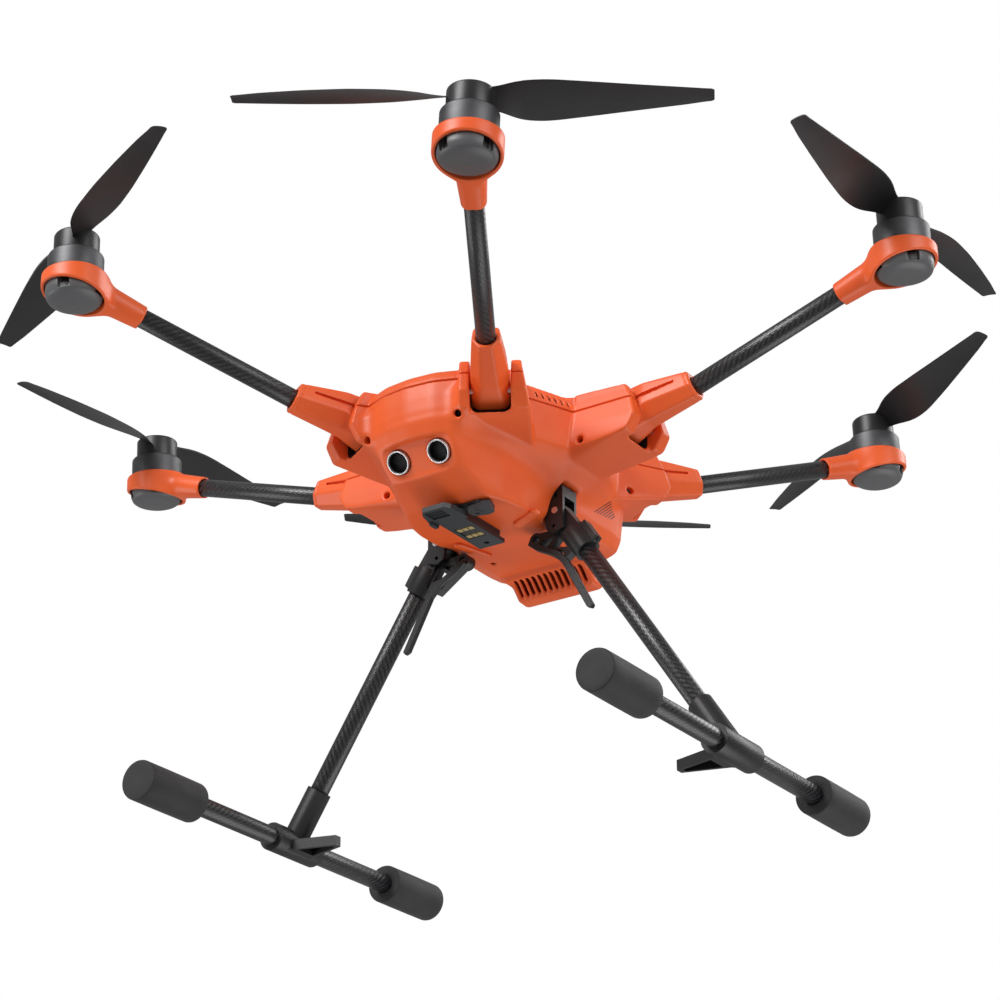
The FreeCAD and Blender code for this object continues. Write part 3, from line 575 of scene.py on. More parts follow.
def build_belly_ribs():
    """Two short raised ribs on the flat belly."""
    for index, (start, end) in enumerate(BELLY_RIBS):
        low, high = span((start, end), 5)
        block = Block([*low, 149], [*high, 156], 0.35)
        ex, ey = end[0] - start[0], end[1] - start[1]
        dx, dy = block.axes[0] - start[0], block.axes[1] - start[1]
        share = np.clip((dx * ex + dy * ey) / (ex * ex + ey * ey), 0, 1)
        rib = np.hypot(dx - share * ex, dy - share * ey) - 2.8
        block.join(soft_max(rib, np.abs(block.axes[2] - 152.4) - 1.6, 1.2))
        add_piece(skin(block, f"belly_rib_{index}"), "airframe", "orange_arm")


def body_solid(step):
    """The left half of the solid body, and the room inside its walls."""
    block = Block(BODY_LOW, BODY_HIGH, step)
    block.join(lofted(block, [(height, whole_plan(half)) for height, half in SAUCER]))
    block.join(lofted(block, [(height, whole_plan(half)) for height, half in KEEL]), 3.0)
    add_tail(block)
    belly = np.where(block.axes[1] > 40.0, 136.0, BELLY)
    block.keep_in(belly - block.axes[2])
    block.soften(SHAPE_PASSES)
    cut_eye_panel(block)
    block.soften(EDGE_PASSES)
    inner = block.field + WALL
    bays = Block(BODY_LOW, BODY_HIGH, step)
    add_bays(bays)
    bays.soften(EDGE_PASSES)
    from_nose = np.degrees(np.arctan2(block.axes[0], -block.axes[1]))
    low_on_nose = np.clip((27.0 - from_nose) / 7.0, 0, 1) * np.clip((206.0 - block.axes[2]) / 8.0, 0, 1)
    block.join(bays.field, 1.2 + 7.5 * low_on_nose)
    return block, np.maximum(inner, -bays.field)


def build_shells():
    """The upper and lower shells, parted at one height."""
    block, inner = body_solid(SHELL_STEP)
    cut_pockets(block)
    x, y, z = block.axes
    notch_wall = np.maximum(np.maximum(28.0 - x, np.abs(y) - 9.2), z - 176)
    block.cut(np.maximum(inner, -notch_wall))
    for cut in (cut_battery_bay, cut_gear_notch, cut_face_vents, cut_top_vents, cut_bores, cut_screw_seats):
        cut(block)
    block.soften(1)
    whole = block.field.copy()
    for name, side in (("top_shell", -1), ("bottom_shell", 1)):
        gap = 0.16 - side * (PARTING - z)
        block.field[...] = soft_max(whole, gap, 0.5)
        add_piece(skin(block, f"{name}_skin", mirror=True), "airframe", "orange_shell", [name])


def build_sensors():
    """The two ultrasonic cans: a bright rim, a dark well and a mesh disc."""
    outer = EYE_RADIUS - 0.02
    rim = [(0, -9), (outer, -9), (outer, 0.35), (5.55, 0.35), (5.55, -0.5), (5.4, -0.5)]
    parts = (
        # name, look, slot, profile
        ("can", "silver", None, rounded_profile(rim, 0.2, 4)),
        ("well", "black_plastic", None, [(5.52, -0.35), (5.3, -3.6), (4.7, -3.6)]),
        ("mesh", "sonar_mesh", "motor_grey", [(4.75, -3.7), (4.75, -3.15), (4.45, -2.95), (0, -2.95)]),
    )
    for side_name, side in SIDES.items():
        place = Matrix.Translation((side * EYE.x, EYE.y, EYE.z)) @ aimed(EYE_LOOK)
        for part, look, slot, profile in parts:
            mesh = turned_mesh(f"sonar_{part}_{side_name}", profile, place)
            add_piece(mesh, "airframe", look, ["sonar_sensors"])


# ---------------- arms

SLEEVE_HALF = 9.65
SLEEVE_SIDE = [(80.4, 211.5), (79.2, 196), (78.6, 191.0), (79.6, 189.3), (84.0, 191.6), (92.0, 195.2),
               (104.5, 198.4), (122.4, 202.9), (118.0, 216.6), (104.0, 216.4), (92.0, 216.2), (84.5, 215.8)]
SLIT_MIDDLE = (99.0, 209.8)
SLIT_TURN = 0.19


def sleeve_mesh(step=0.4):
    """The arm's root: flat facets, tapering to the tube, with a lip where the tube leaves it."""
    block = Block((74, -12, 186), (126, 12, 220), step)
    x, y, z = block.axes
    side = outline(x, z, SLEEVE_SIDE)
    half = np.interp(x, (80, 90, 96, 121), (10.0, 10.0, SLEEVE_HALF, 7.3))
    flat = np.interp(x, (80, 93, 121), (7.2, 4.8, 3.4))
    bottom = np.interp(x, (78, 92, 104.5, 122.4), (189.4, 195.2, 198.4, 202.9))
    middle = bottom + np.interp(x, (80, 87, 93, 121), (2.2, 3.4, 8.0, 5.6))
    wide = np.abs(y)
    rise, run = middle - bottom, half - flat
    lower = ((wide - half) * rise - (z - middle) * run) / np.hypot(rise, run)
    upper = (wide - half) * 0.985 + (z - middle - 2.0) * 0.16
    block.join(soft_max(side, soft_max(np.maximum(wide - half, lower), upper, 0.8), 0.8))
    corner = (wide - half + 2.0) * 0.707 + (z - np.interp(x, (80, 121), (216.0, 216.9))) * 0.707
    block.keep_in(corner, 0.6)
    point = on_axis(-125.96)
    cap = (x - point.x) * OUTWARD.x + (z - point.z) * OUTWARD.z
    block.keep_in(cap, 0.8)
    block.soften(3)
    lip = np.abs(cap + 2.6) - 0.22
    block.cut(np.maximum(lip, -(block.field + 0.35)), 0.2)
    start, end = on_axis(-140), on_axis(-120)
    block.cut(cylinder(block.axes, start, end, 5.15), 0.3)
    pin = cylinder(block.axes, (86, -12, 197.1), (86, 12, 197.1), 1.6)
    block.cut(pin, 0.3)
    slit_u, slit_v = turned(x - SLIT_MIDDLE[0], z - SLIT_MIDDLE[1], SLIT_TURN)
    widening = np.clip((10.0 - slit_u) / 20.0, 0, 1) * 0.6
    slit = np.maximum(slot_shape(slit_u, slit_v, 12.0, 0.6) - widening, half - 2.6 - wide)
    block.cut(slit, 0.15)
    return skin(block, "sleeve")


RING_RADIUS = 17.0
RING_BORE = 15.2
RING_TOP = -21.0
RING_LOW = -28.0
RING_HEEL = -36.5
NECK_END = -38.3
NECK_LENGTH = 27.0
NECK_WIDE = (6.25, 8.3)
NECK_TALL = (6.25, 7.4)


def mount_mesh(step=0.4):
    """The motor mount: a ring whose lower rim slopes with the arm, and a neck that grips the tube."""
    block = Block((198, -19, 230), (260, 19, 256), step)
    x, y, z = block.axes
    out = np.hypot(x - MOTOR_CIRCLE, y)
    reach = (x - MOTOR_CIRCLE + RING_RADIUS) / (2 * RING_RADIUS)
    rim = HUB_HEIGHT + RING_HEEL + (RING_LOW - RING_HEEL) * reach
    below = (rim - z) * 0.97
    above = z - HUB_HEIGHT - RING_TOP
    ring = np.maximum(out - RING_RADIUS, np.maximum(below, above))
    start = on_axis(NECK_END)
    along, lift = turned(x - start.x, z - start.z, ARM_SLOPE)
    share = np.clip(along / NECK_LENGTH, 0, 1)
    wide = NECK_WIDE[0] + (NECK_WIDE[1] - NECK_WIDE[0]) * share
    tall = NECK_TALL[0] + (NECK_TALL[1] - NECK_TALL[0]) * share
    neck = (np.hypot(y / wide, lift / tall) - 1) * tall
    neck = np.maximum(neck, np.maximum(-along, along - NECK_LENGTH))
    block.join(ring)
    block.join(neck, 5.0)
    block.keep_in(np.maximum(below, above), 0.8)
    block.soften(2)
    block.cut(out - RING_BORE, 0.5)
    block.cut(cylinder(block.axes, on_axis(-60), on_axis(-30), 5.1), 0.3)
    return skin(block, "mount")


TUBE_RADIUS = 5.0
TUBE_WALL = 1.0
TUBE_SPOKES = 64


def tube_mesh(name, start, end, place=None):
    """A carbon tube with its weave laid out in U round it and V along it, in metres."""
    start, end = Vector(start), Vector(end)
    along = (end - start).normalized()
    side = along.orthogonal().normalized()
    other = along.cross(side)
    length = (end - start).length
    inside, edge = TUBE_RADIUS - TUBE_WALL, TUBE_RADIUS - 0.25
    rings = [(0.0, inside), (0.0, edge), (0.25, TUBE_RADIUS), (length - 0.25, TUBE_RADIUS), (length, edge),
             (length, inside), (0.0, inside)]
    points = []
    for run, reach in rings:
        for index in range(TUBE_SPOKES):
            angle = 2 * math.pi * index / TUBE_SPOKES
            out = side * math.cos(angle) + other * math.sin(angle)
            points.append(tuple(start + along * run + out * reach))
    mesh = mesh_from(name, points, ring_faces(len(rings), TUBE_SPOKES), place)
    layer = mesh.uv_layers.new(name="weave")
    last = TUBE_SPOKES - 1
    for polygon in mesh.polygons:
        corners = [divmod(mesh.loops[loop].vertex_index, TUBE_SPOKES) for loop in polygon.loop_indices]
        closes = any(spoke == last for _, spoke in corners)
        for loop, (ring, spoke) in zip(polygon.loop_indices, corners):
            turn = TUBE_SPOKES if closes and spoke == 0 else spoke
            layer.data[loop].uv = (2 * math.pi * TUBE_RADIUS * turn / TUBE_SPOKES * MM, rings[ring][0] * MM)
    return mesh


def turned_points(profile, spokes):
    """The points of a (radius, height) profile turned about Z, ring by ring."""
    angles = [2 * math.pi * index / spokes for index in range(spokes)]
    return [(radius * math.cos(angle), radius * math.sin(angle), height)
            for radius, height in profile for angle in angles]


def turned_mesh(name, profile, place, spokes=72, sharp=35.0):
    """A turned piece from a (radius, height) profile, about Z."""
    mesh = mesh_from(name, turned_points(profile, spokes), ring_faces(len(profile), spokes), place)
    weld = bmesh.new()
    weld.from_mesh(mesh)
    bmesh.ops.remove_doubles(weld, verts=weld.verts, dist=1e-6)
    bmesh.ops.recalc_face_normals(weld, faces=weld.faces)
    weld.to_mesh(mesh)
    weld.free()
    mesh.set_sharp_from_angle(angle=math.radians(sharp))
    return mesh


def rounded_profile(corners, radius, steps):
    """Rounds the corners of an open (radius, height) profile."""
    result = [corners[0]]
    for before, here, after in zip(corners, corners[1:], corners[2:]):
        here_v, before_v, after_v = Vector(here), Vector(before), Vector(after)
        to_before, to_after = before_v - here_v, after_v - here_v
        trim = min(radius, to_before.length * 0.45, to_after.length * 0.45)
        first = here_v + to_before.normalized() * trim
        last = here_v + to_after.normalized() * trim
        for index in range(steps + 1):
            share = index / steps
            point = first * (1 - share) ** 2 + here_v * 2 * share * (1 - share) + last * share ** 2
            result.append((point.x, point.y))
    result.append(corners[-1])
    return result


BELL_PROFILE = [(0, -9.25), (13.6, -9.25), (14.3, -10.1), (14.3, -20.6), (13.1, -20.6), (13.1, -11.2),
                (2.0, -11.2), (2.0, -28.8), (0, -28.8)]
BASE_RADIUS = 15.1
BASE_LOW = -37.45
WINDOW_BEARINGS = (48.0, 132.0, 228.0, 312.0)
WINDOW_DEPTH = 2.8


def base_mesh(step=0.35):
    """The motor's closed base: a low dome with four square windows under its rim."""
    block = Block((-16, -16, -38.6), (16, 16, -11), step)
    x, y, z = block.axes
    out = np.hypot(x, y)
    drum = np.maximum(out - BASE_RADIUS, z + 24.0)
    drum = np.minimum(drum, np.maximum(out - 12.0, np.maximum(z + 11.7, -30.0 - z)))
    dome = np.interp(z, (BASE_LOW, BASE_LOW + 0.4, BASE_LOW + 2.4, -31.6), (0.0, 8.6, 13.4, BASE_RADIUS))
    drum = soft_max(drum, (out - dome) * 0.7, 1.2)
    block.join(np.maximum(drum, BASE_LOW - z))
    block.soften(3)
    for bearing in WINDOW_BEARINGS:
        reach, across = turned(x, y, math.radians(bearing))
        window = soft_max(np.abs(across) - 3.1, np.abs(z + 30.2) - 3.6, 0.5)
        block.cut(np.maximum(window, BASE_RADIUS - WINDOW_DEPTH - reach), 0.25)
    block.cut(out - 2.1 + 50 * (z < BASE_LOW + 8), 0.1)
    return skin(block, "base")


BLADE_STATIONS = [
    # share of the reach, share of the widest chord, pitch in degrees, sweep in mm
    (0.085, 0.46, 33, 0.0),
    (0.13, 0.60, 29, 0.2),
    (0.20, 0.88, 24, 0.6),
    (0.27, 0.98, 21, 0.6),
    (0.34, 1.00, 18.5, 0.4),
    (0.50, 0.89, 14, 0.0),
    (0.70, 0.69, 10.5, -0.5),
    (0.88, 0.49, 8.5, -1.0),
    (0.985, 0.34, 7.6, -1.5),
]
BLADE_ROOT = BLADE_STATIONS[0][0]
BLADE_TIP = BLADE_STATIONS[-1][0]
PROP_REACH = 113.6
BLADE_CHORD = 24.0
CHORD_STEPS = 22
CAP_PROFILE = [(0, 3.1), (10.2, 3.1), (11.65, 2.3), (11.65, -8.95), (0, -8.95)]
CAP_SPOKES = 72


def blade_value(share, column):
    """A value read between the blade's stations."""
    shares = [station[0] for station in BLADE_STATIONS]
    return float(np.interp(share, shares, [station[column] for station in BLADE_STATIONS]))


def blade_ring(share, sign, shrink=1.0):
    """A cambered aerofoil section across a blade that points along +Y."""
    near = [min(max(share + d, BLADE_ROOT), BLADE_TIP) for d in (-0.03, -0.015, 0, 0.015, 0.03)]
    chord = BLADE_CHORD * sum(blade_value(place, 1) for place in near) / len(near) * shrink
    pitch = math.radians(sign * blade_value(share, 2))
    sweep = blade_value(share, 3) * sign
    ring = []
    for index in range(2 * CHORD_STEPS):
        u = 0.5 - 0.5 * math.cos(math.pi * index / CHORD_STEPS)
        thick = (0.42 * math.sqrt(max(u, 0)) * (1 - u) + 0.05 * (1 - u)) * 0.115 * chord + 0.16
        camber = 0.05 * chord * 4 * u * (1 - u)
        height = camber + (thick if index < CHORD_STEPS else -thick * 0.75)
        along = sign * (u - 0.42) * chord
        x = along * math.cos(pitch) - height * math.sin(pitch) + sweep
        z = height * math.cos(pitch) - along * math.sin(pitch)
        ring.append((x, share * PROP_REACH, z))
    return ring


def blade_part(sign):
    """One blade's points and faces, from its root to its rounded tip."""
    rings = [blade_ring(BLADE_ROOT + 0.9 * index / 46, sign) for index in range(47)]
    rings.append(blade_ring(0.992, sign, 0.93))
    rings.append(blade_ring(0.998, sign, 0.80))
    count = len(rings[0])
    faces = ring_faces(len(rings), count)
    faces.append(tuple(range(count)))
    faces.append(tuple(reversed(range((len(rings) - 1) * count, len(rings) * count))))
    return [point for ring in rings for point in ring], faces


def add_faces(whole, points, faces):
    made = [whole.verts.new(point) for point in points]
    for face in faces:
        whole.faces.new([made[index] for index in face])


def propeller_mesh(sign):
    """Two twisted blades on a plain round cap."""
    points, faces = blade_part(sign)
    whole = bmesh.new()
    for turn in (1, -1):
        add_faces(whole, [(x * turn, y * turn, z) for x, y, z in points], faces)
    cap = rounded_profile(CAP_PROFILE, 0.7, 4)
    add_faces(whole, turned_points(cap, CAP_SPOKES), ring_faces(len(cap), CAP_SPOKES))
    bmesh.ops.remove_doubles(whole, verts=whole.verts, dist=1e-5)
    bmesh.ops.recalc_face_normals(whole, faces=whole.faces)
    mesh = bpy.data.meshes.new("propeller")
    whole.to_mesh(mesh)
    whole.free()
    mesh.transform(Matrix.Diagonal((MM, MM, MM, 1)))
    mesh.shade_smooth()
    mesh.set_sharp_from_angle(angle=math.radians(50))
    return mesh


def build_arms():
    """Six arms, each with its motor and propeller."""
    sleeve = sleeve_mesh()
    mount = mount_mesh()
    base = base_mesh()
    rotor = {sign: propeller_mesh(sign) for sign in (1, -1)}
    core = [(BASE_RADIUS - WINDOW_DEPTH + 0.15, z) for z in (-26.4, -34.0)]
    bell = rounded_profile(BELL_PROFILE, 0.35, 3)
    for name, bearing in ARMS.items():
        turn, lean, hub = arm_turn(bearing), motor_turn(bearing), hub_turn(bearing)
        arm, spin = f"arm_{name}", f"rotor_{name}"
        tube = tube_mesh(f"tube_{name}", on_axis(-141.9), on_axis(-30.1), turn)
        blades = moved(rotor[cant_sign(bearing)], f"blades_{name}", hub)
        add_piece(moved(sleeve, f"sleeve_{name}", turn), arm, "orange_arm", [f"arm_sleeve_{name}"])
        add_piece(moved(mount, f"mount_{name}", lean), arm, "orange_arm", [f"motor_mount_{name}"])
        add_piece(tube, arm, "carbon", [f"arm_tube_{name}"])
        add_piece(moved(base, f"base_{name}", hub), arm, "base_grey", [f"motor_base_{name}"])
        add_piece(turned_mesh(f"base_core_{name}", core, hub), arm, "black_plastic")
        add_piece(turned_mesh(f"bell_{name}", bell, hub), spin, "motor_grey", [f"motor_bell_{name}"])
        add_piece(blades, spin, "prop_black", [f"propeller_{name}"])


# ---------------- landing gear

GEAR_PIVOT = Vector((37.5, 0, 158.4))
FOOT = Vector((132.8, 0, 10.5))
GROUND_HALF = Vector((0, 124, 0))
FOAM_INNER = 82.4
FOAM_OUTER = 125.5
FOAM_RADIUS = 10.5


def foam_profile():
    """A soft roll: bulged a little, with round rims and a dimple round the tube."""
    length = FOAM_OUTER - FOAM_INNER
    side = FOAM_RADIUS - 0.1
    near = [(5.05, 0.3), (5.5, 0.05), (7.4, 0.0), (9.7, 0.05), (10.2, 0.25), (side, 0.9)]
    middle = [(side + 0.08 * math.sin(math.pi * k / 8), 0.9 + (length - 1.8) * k / 8) for k in range(1, 8)]
    far = [(side, length - 0.9), (10.2, length - 0.25), (9.7, length - 0.05), (7.0, length - 0.02),
           (0, length - 0.05)]
    return near + middle + far


def build_feet():
    """The four foam rolls on the ends of the ground tubes."""
    for side_name, side in SIDES.items():
        for end_name, end in (("front", -1), ("rear", 1)):
            place = Matrix.Translation((side * FOOT.x, end * FOAM_INNER, FOOT.z)) @ aimed((0, end, 0))
            mesh = turned_mesh(f"foam_{end_name}_{side_name}", foam_profile(), place, 72, 60)
            piece = add_piece(mesh, f"gear_{side_name}", "foam", [f"foot_pads_{side_name}"])


def build_gear_tubes():
    """A leg tube and a ground tube on each side."""
    leg = FOOT - GEAR_PIVOT
    down = leg.normalized()
    ends = {
        "leg_tube": (GEAR_PIVOT + down * 15, GEAR_PIVOT + down * (leg.length - 7.5)),
        "ground_tube": (FOOT - GROUND_HALF, FOOT + GROUND_HALF),
    }
    for side_name, side in SIDES.items():
        flip = Matrix.Diagonal((side, 1, 1))
        for part, (start, end) in ends.items():
            mesh = tube_mesh(f"{part}_{side_name}", flip @ start, flip @ end)
            add_piece(mesh, f"gear_{side_name}", "carbon", [f"gear_tubes_{side_name}"])


# ---------------- materials

class Look:
    """A node tree while it is put together; inputs take numbers, colours or sockets."""

    def __init__(self, name, owner=None):
        self.name = name
        self.owner = owner or bpy.data.materials.new(name)
        self.owner.use_nodes = True
        self.nodes = self.owner.node_tree.nodes
        self.shader = self.nodes.get("Principled BSDF")

    def feed(self, node, inputs):
        for key, value in inputs.items():
            if isinstance(value, bpy.types.NodeSocket):
                self.owner.node_tree.links.new(value, node.inputs[key])
            else:
                node.inputs[key].default_value = value

    def node(self, kind, inputs, **settings):
        node = self.nodes.new(f"ShaderNode{kind}")
        for name, value in settings.items():
            setattr(node, name, value)
        self.feed(node, inputs)
        return node

    def point(self):
        return self.node("TexCoord", {}).outputs["Object"]

    def noise(self, scale, detail):
        inputs = {"Scale": scale, "Detail": detail, "Vector": self.point()}
        return self.node("TexNoise", inputs).outputs["Fac"]

    def spread(self, source, low, high):
        """Maps a 0 to 1 source to a range."""
        return self.node("MapRange", {"To Min": low, "To Max": high, "Value": source}).outputs["Result"]

    def ramp(self, source, dark, light, low=0.35, high=0.65):
        node = self.node("ValToRGB", {"Fac": source})
        for element, position, colour in zip(node.color_ramp.elements, (low, high), (dark, light)):
            element.position = position
            element.color = (*colour, 1)
        return node.outputs["Color"]

    def math(self, operation, *inputs):
        return self.node("Math", dict(enumerate(inputs)), operation=operation).outputs[0]

    def blend(self, factor, first, second, kind="MIX"):
        """A mix of two colours."""
        inputs = {"Factor": factor, 6: first, 7: second}
        return self.node("Mix", inputs, data_type="RGBA", blend_type=kind).outputs[2]

    def bump(self, height, strength, distance):
        node = self.node("Bump", {"Strength": strength, "Distance": distance, "Height": height})
        self.feed(self.shader, {"Normal": node.outputs["Normal"]})


def plastic(name, dark, light, roughness, strength=0.12):
    """Moulded plastic: a fine spark-eroded grain, slight flow marks, and uneven gloss."""
    look = Look(name)
    look.feed(look.shader, {
        "Base Color": look.ramp(look.noise(18.0, 2.0), dark, light),
        "Roughness": look.spread(look.noise(55.0, 4.0), roughness - 0.06, roughness + 0.06),
    })
    look.bump(look.noise(2600.0, 2.0), strength, 0.0002)
    return look


TOW_WIDTH = 0.0009


def carbon():
    """Clear-coated twill: two crossing tow directions, each with its own sheen."""
    look = Look("carbon")
    weave = look.node("UVMap", {}, uv_map="weave")
    split = look.node("SeparateXYZ", {"Vector": weave.outputs["UV"]}).outputs
    column, row = (look.math("DIVIDE", split[axis], TOW_WIDTH) for axis in ("X", "Y"))
    stepped = look.math("ADD", look.math("FLOOR", column), look.math("FLOOR", row))
    over = look.math("LESS_THAN", look.math("FLOORED_MODULO", stepped, 4.0), 1.5)
    across, along = (look.math("PINGPONG", run, 0.5) for run in (column, row))
    crown = look.node("Mix", {"Factor": over, 2: across, 3: along}).outputs[0]
    speck = look.ramp(look.noise(900.0, 2.0), (0.45, 0.45, 0.45), (1.6, 1.6, 1.65))
    base = look.blend(over, (0.004, 0.004, 0.005, 1), (0.016, 0.016, 0.018, 1))
    look.feed(look.shader, {
        "Base Color": look.blend(1.0, base, speck, "MULTIPLY"),
        "Roughness": look.spread(over, 0.30, 0.48),
        "Coat Weight": 0.35,
        "Coat Roughness": 0.22,
    })
    look.bump(crown, 0.35, 0.0004)
    return look


def metal(name, colour, roughness):
    """Turned, anodised metal: fine rings, slightly uneven."""
    look = Look(name)
    dark = tuple(part * 0.8 for part in colour)
    stretch = look.node("Mapping", {"Scale": (60, 60, 6000), "Vector": look.point()})
    rings = look.node("TexNoise", {"Scale": 1.0, "Vector": stretch.outputs["Vector"]}).outputs["Fac"]
    look.feed(look.shader, {
        "Metallic": 0.9,
        "Base Color": look.ramp(look.noise(120.0, 4.0), dark, colour),
        "Roughness": look.spread(rings, roughness - 0.08, roughness + 0.1),
    })
    look.bump(rings, 0.08, 0.0001)
    return look


def foam():
    """Closed-cell foam: fine pores and a dull skin."""
    look = Look("foam")
    pores = look.noise(1800.0, 3.0)
    look.feed(look.shader, {
        "Base Color": look.ramp(look.noise(60.0, 3.0), (0.011, 0.011, 0.012), (0.020, 0.020, 0.022)),
        "Roughness": look.spread(pores, 0.62, 0.8),
        "Sheen Weight": 0.06,
    })
    look.bump(pores, 0.25, 0.0003)
    return look


GRILLE_SLANT = 1.22
GRILLE_FIRST = -0.1798
GRILLE_PITCH = 0.00226
# painted shade: the dark colour of the lines that stand for the shade inside the grille grooves
GROOVE_SHADE_COLOUR = (0.16, 0.018, 0.004, 1)


def shell(dark, light):
    """The shells' orange, with painted shade: dark lines where the side grilles' fine grooves are, standing
    in for the shade inside them.
    """
    look = plastic("orange_shell", dark, light, 0.42)
    step = look.math
    split = look.node("SeparateXYZ", {"Vector": look.point()}).outputs
    across, above = split["Y"], split["Z"]
    slant = step("SUBTRACT", step("SUBTRACT", across, step("MULTIPLY", above, GRILLE_SLANT)), GRILLE_FIRST)
    line = step("LESS_THAN", step("PINGPONG", slant, GRILLE_PITCH / 2), GRILLE_PITCH * 0.24)
    from_middle = step("ABSOLUTE", step("SUBTRACT", slant, GRILLE_PITCH * 3))
    wide = step("LESS_THAN", from_middle, GRILLE_PITCH * 3.3)
    low_edge = step("ADD", step("MULTIPLY", across, 0.1026), 0.1660)
    high_edge = step("SUBTRACT", 0.2136, step("MULTIPLY", across, 0.89))
    tall = step("MULTIPLY", step("GREATER_THAN", above, low_edge), step("LESS_THAN", above, high_edge))
    outer = step("GREATER_THAN", step("ABSOLUTE", split["X"]), 0.034)
    # painted shade: where the grooves' shade is painted, inside the grille's outline
    groove_shade = step("MULTIPLY", step("MULTIPLY", line, wide), step("MULTIPLY", tall, outer))
    plain = look.shader.inputs["Base Color"].links[0].from_socket
    look.feed(look.shader, {"Base Color": look.blend(groove_shade, plain, GROOVE_SHADE_COLOUR)})
    return look


WIRE_ACROSS = 0.00028
WIRE_ALONG = 0.00024


def sonar_mesh():
    """The sensors' fine woven mesh."""
    look = Look("sonar_mesh")
    step = look.math
    split = look.node("SeparateXYZ", {"Vector": look.point()}).outputs
    across = step("DIVIDE", step("PINGPONG", split["X"], WIRE_ACROSS), WIRE_ACROSS)
    along = step("DIVIDE", step("PINGPONG", split["Z"], WIRE_ALONG), WIRE_ALONG)
    wires = step("MAXIMUM", across, along)
    look.feed(look.shader, {
        "Base Color": look.ramp(wires, (0.003, 0.003, 0.004), (0.05, 0.05, 0.054), 0.5, 0.95),
        "Metallic": 0.6,
        "Roughness": 0.45,
    })
    look.bump(wires, 0.6, 0.0002)
    return look


def make_looks():
    """Every material, by its name."""
    dark, light = (0.80, 0.105, 0.018), (0.88, 0.125, 0.022)
    looks = [
        shell(dark, light),
        plastic("orange_arm", dark, light, 0.40),
        sonar_mesh(),
        carbon(),
        foam(),
        plastic("black_plastic", (0.007, 0.007, 0.008), (0.013, 0.013, 0.014), 0.46, 0.2),
        plastic("prop_black", (0.010, 0.010, 0.011), (0.018, 0.018, 0.020), 0.38),
        plastic("base_grey", (0.085, 0.086, 0.09), (0.11, 0.111, 0.116), 0.42),
        plastic("dock_grey", (0.022, 0.024, 0.027), (0.034, 0.037, 0.042), 0.45),
        plastic("battery_dark", (0.02, 0.02, 0.022), (0.032, 0.032, 0.035), 0.5),
        plastic("board_green", (0.01, 0.08, 0.03), (0.015, 0.11, 0.04), 0.35),
        metal("motor_grey", (0.12, 0.12, 0.125), 0.5),
        metal("silver", (0.75, 0.75, 0.77), 0.28),
        metal("gold", (0.90, 0.68, 0.30), 0.25),
    ]
    return {look.name: look.owner for look in looks}


# ---------------- CAD nodes that stay

EDGE_SOFTENING = {
    # node, then the width in millimetres of its rounded edges
    "gear_brackets": 0.35, "gimbal_dock": 0.3, "dock_release": 0.3, "dock_contacts": 0.12,
    "battery_pack": 0.6, "frame_plate": 0.3, "flight_board": 0.2, "gear_actuators": 0.4,
    "power_button": 0.4, "hinge_pins": 0.15,
}
GEAR_SOFTENING = {"leg_clamp": 0.35, "antenna_blade": 0.4, "leg_tee": 0.35}


def soften_node(node, width):
    """Rounds a CAD node's edges with modifiers; its own mesh stays as it is."""
    weld = node.modifiers.new("weld", "WELD")
    weld.merge_threshold = 1e-5
    edge = node.modifiers.new("edges", "BEVEL")
    edge.width = width * MM
    edge.segments = 3
    edge.limit_method = "ANGLE"
    edge.angle_limit = math.radians(32)
    edge.use_clamp_overlap = True
    edge.harden_normals = True


def dress_nodes():
    """Gives every CAD node its material, and the ones that stay rounded edges."""
    slots = {part["node"]: part["material_slot"] for part in frame["record"]["subparts"]}
    for name, node in frame["nodes"].items():
        node.data.materials.clear()
        node.data.materials.append(LOOKS[slots[name]])
    for name, width in EDGE_SOFTENING.items():
        soften_node(frame["nodes"][name], width)
    for part, width in GEAR_SOFTENING.items():
        for side in SIDES:
            soften_node(frame["nodes"][f"{part}_{side}"], width)


# ---------------- studio

CAMERA_PLACE = (0.75542, -1.14169, -0.45819)
CAMERA_TURN = (1.10340828, 0.33013896, -0.523127912)
CAMERA_LENS = 102.86


def build_camera():
    """Stands where the photograph was taken from: low, in front and to the drone's left."""
    data = bpy.data.cameras.new("camera")
    data.lens = CAMERA_LENS
    data.sensor_width = 36.0
    camera = bpy.data.objects.new("camera", data)
    turn = Vector(CAMERA_TURN)
    seen = Matrix.Rotation(turn.length, 3, turn.normalized())
    flip = Matrix.Diagonal((1, -1, -1))
    camera.matrix_world = Matrix.Translation(CAMERA_PLACE) @ (flip @ seen).transposed().to_4x4()
    bpy.context.scene.collection.objects.link(camera)
    bpy.context.scene.camera = camera


ROOM_LIGHT = 0.31
FLOOR_SIZE = 40.0
FLOOR_GLOW = 0.45
LIT_POINT = (0, 0, 0.17)
LIGHTS = (
    # name, place in metres, size, watts
    ("key", (-0.4, -1.7, 1.3), 0.9, 34),
    ("below", (0.5, 0.6, -1.2), 1.2, 11),
    ("low_left", (-1.4, -0.8, -0.6), 1.0, 9),
    ("right", (1.7, -0.4, 0.65), 1.0, 14),
    ("rear", (0.9, 1.6, 1.2), 1.0, 16),
)


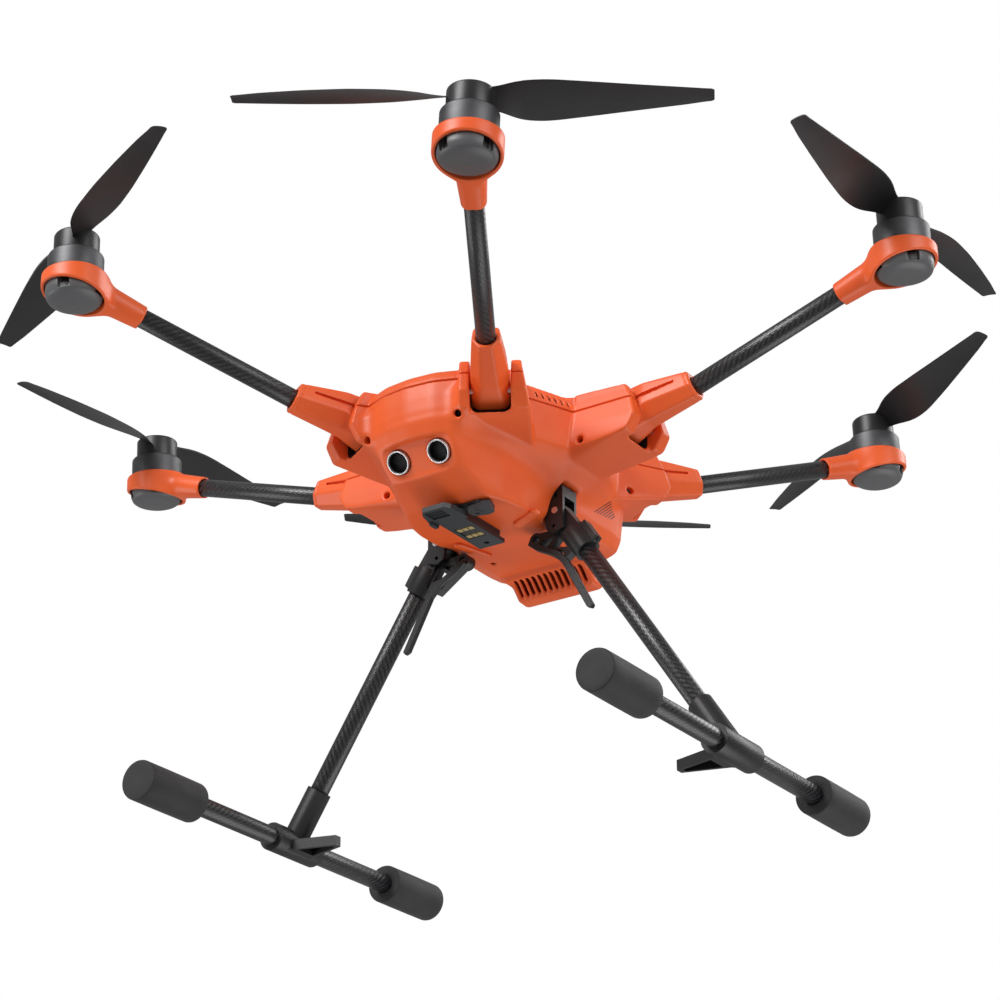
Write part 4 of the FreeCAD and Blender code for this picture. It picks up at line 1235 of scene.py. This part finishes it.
def area_light(name, place, size, power):
    data = bpy.data.lights.new(name, "AREA")
    data.size = size
    data.energy = power
    light = bpy.data.objects.new(name, data)
    light.location = place
    light.rotation_euler = (Vector(LIT_POINT) - Vector(place)).to_track_quat("-Z", "Y").to_euler()
    light.visible_camera = False
    bpy.context.scene.collection.objects.link(light)


def build_world():
    """White to the camera, and a weaker even light on the drone."""
    world = bpy.data.worlds.new("studio")
    bpy.context.scene.world = world
    look = Look("studio", world)
    seen = look.nodes["Background"]
    look.feed(seen, {"Color": (1, 1, 1, 1), "Strength": 1.0})
    room = look.node("Background", {"Color": (1, 1, 1, 1), "Strength": ROOM_LIGHT})
    seen_by_camera = look.node("LightPath", {}).outputs["Is Camera Ray"]
    mix = look.node("MixShader", {"Fac": seen_by_camera, 1: room.outputs[0], 2: seen.outputs[0]})
    look.feed(look.nodes["World Output"], {"Surface": mix.outputs[0]})


def build_floor():
    """A pale floor that the camera looks through from below."""
    bpy.ops.mesh.primitive_plane_add(size=FLOOR_SIZE, location=(0, 0, -0.0005))
    floor = bpy.context.object
    floor.name = "floor"
    look = Look("floor")
    look.feed(look.shader, {
        "Base Color": look.ramp(look.noise(3.0, 3.0), (0.80, 0.80, 0.80), (0.84, 0.84, 0.84)),
        "Roughness": 0.7,
        "Emission Color": (1, 1, 1, 1),
        "Emission Strength": FLOOR_GLOW,
    })
    below = look.node("NewGeometry", {}).outputs["Backfacing"]
    clear = look.node("BsdfTransparent", {})
    mix = look.node("MixShader", {"Fac": below, 1: look.shader.outputs[0], 2: clear.outputs[0]})
    look.feed(look.nodes["Material Output"], {"Surface": mix.outputs[0]})
    floor.data.materials.append(look.owner)
    floor.visible_shadow = False
    floor.visible_diffuse = False
    floor.visible_glossy = False


def build_studio():
    build_world()
    for name, place, size, power in LIGHTS:
        area_light(name, place, size, power)
    build_floor()
    bpy.context.scene.view_settings.view_transform = "Standard"


LOOKS = make_looks()
dress_nodes()
build_camera()
build_studio()
build_shells()
build_belly_ribs()
build_sensors()
build_screws()
build_pocket_shade_sheets()
build_arms()
build_gear_tubes()
build_feet()
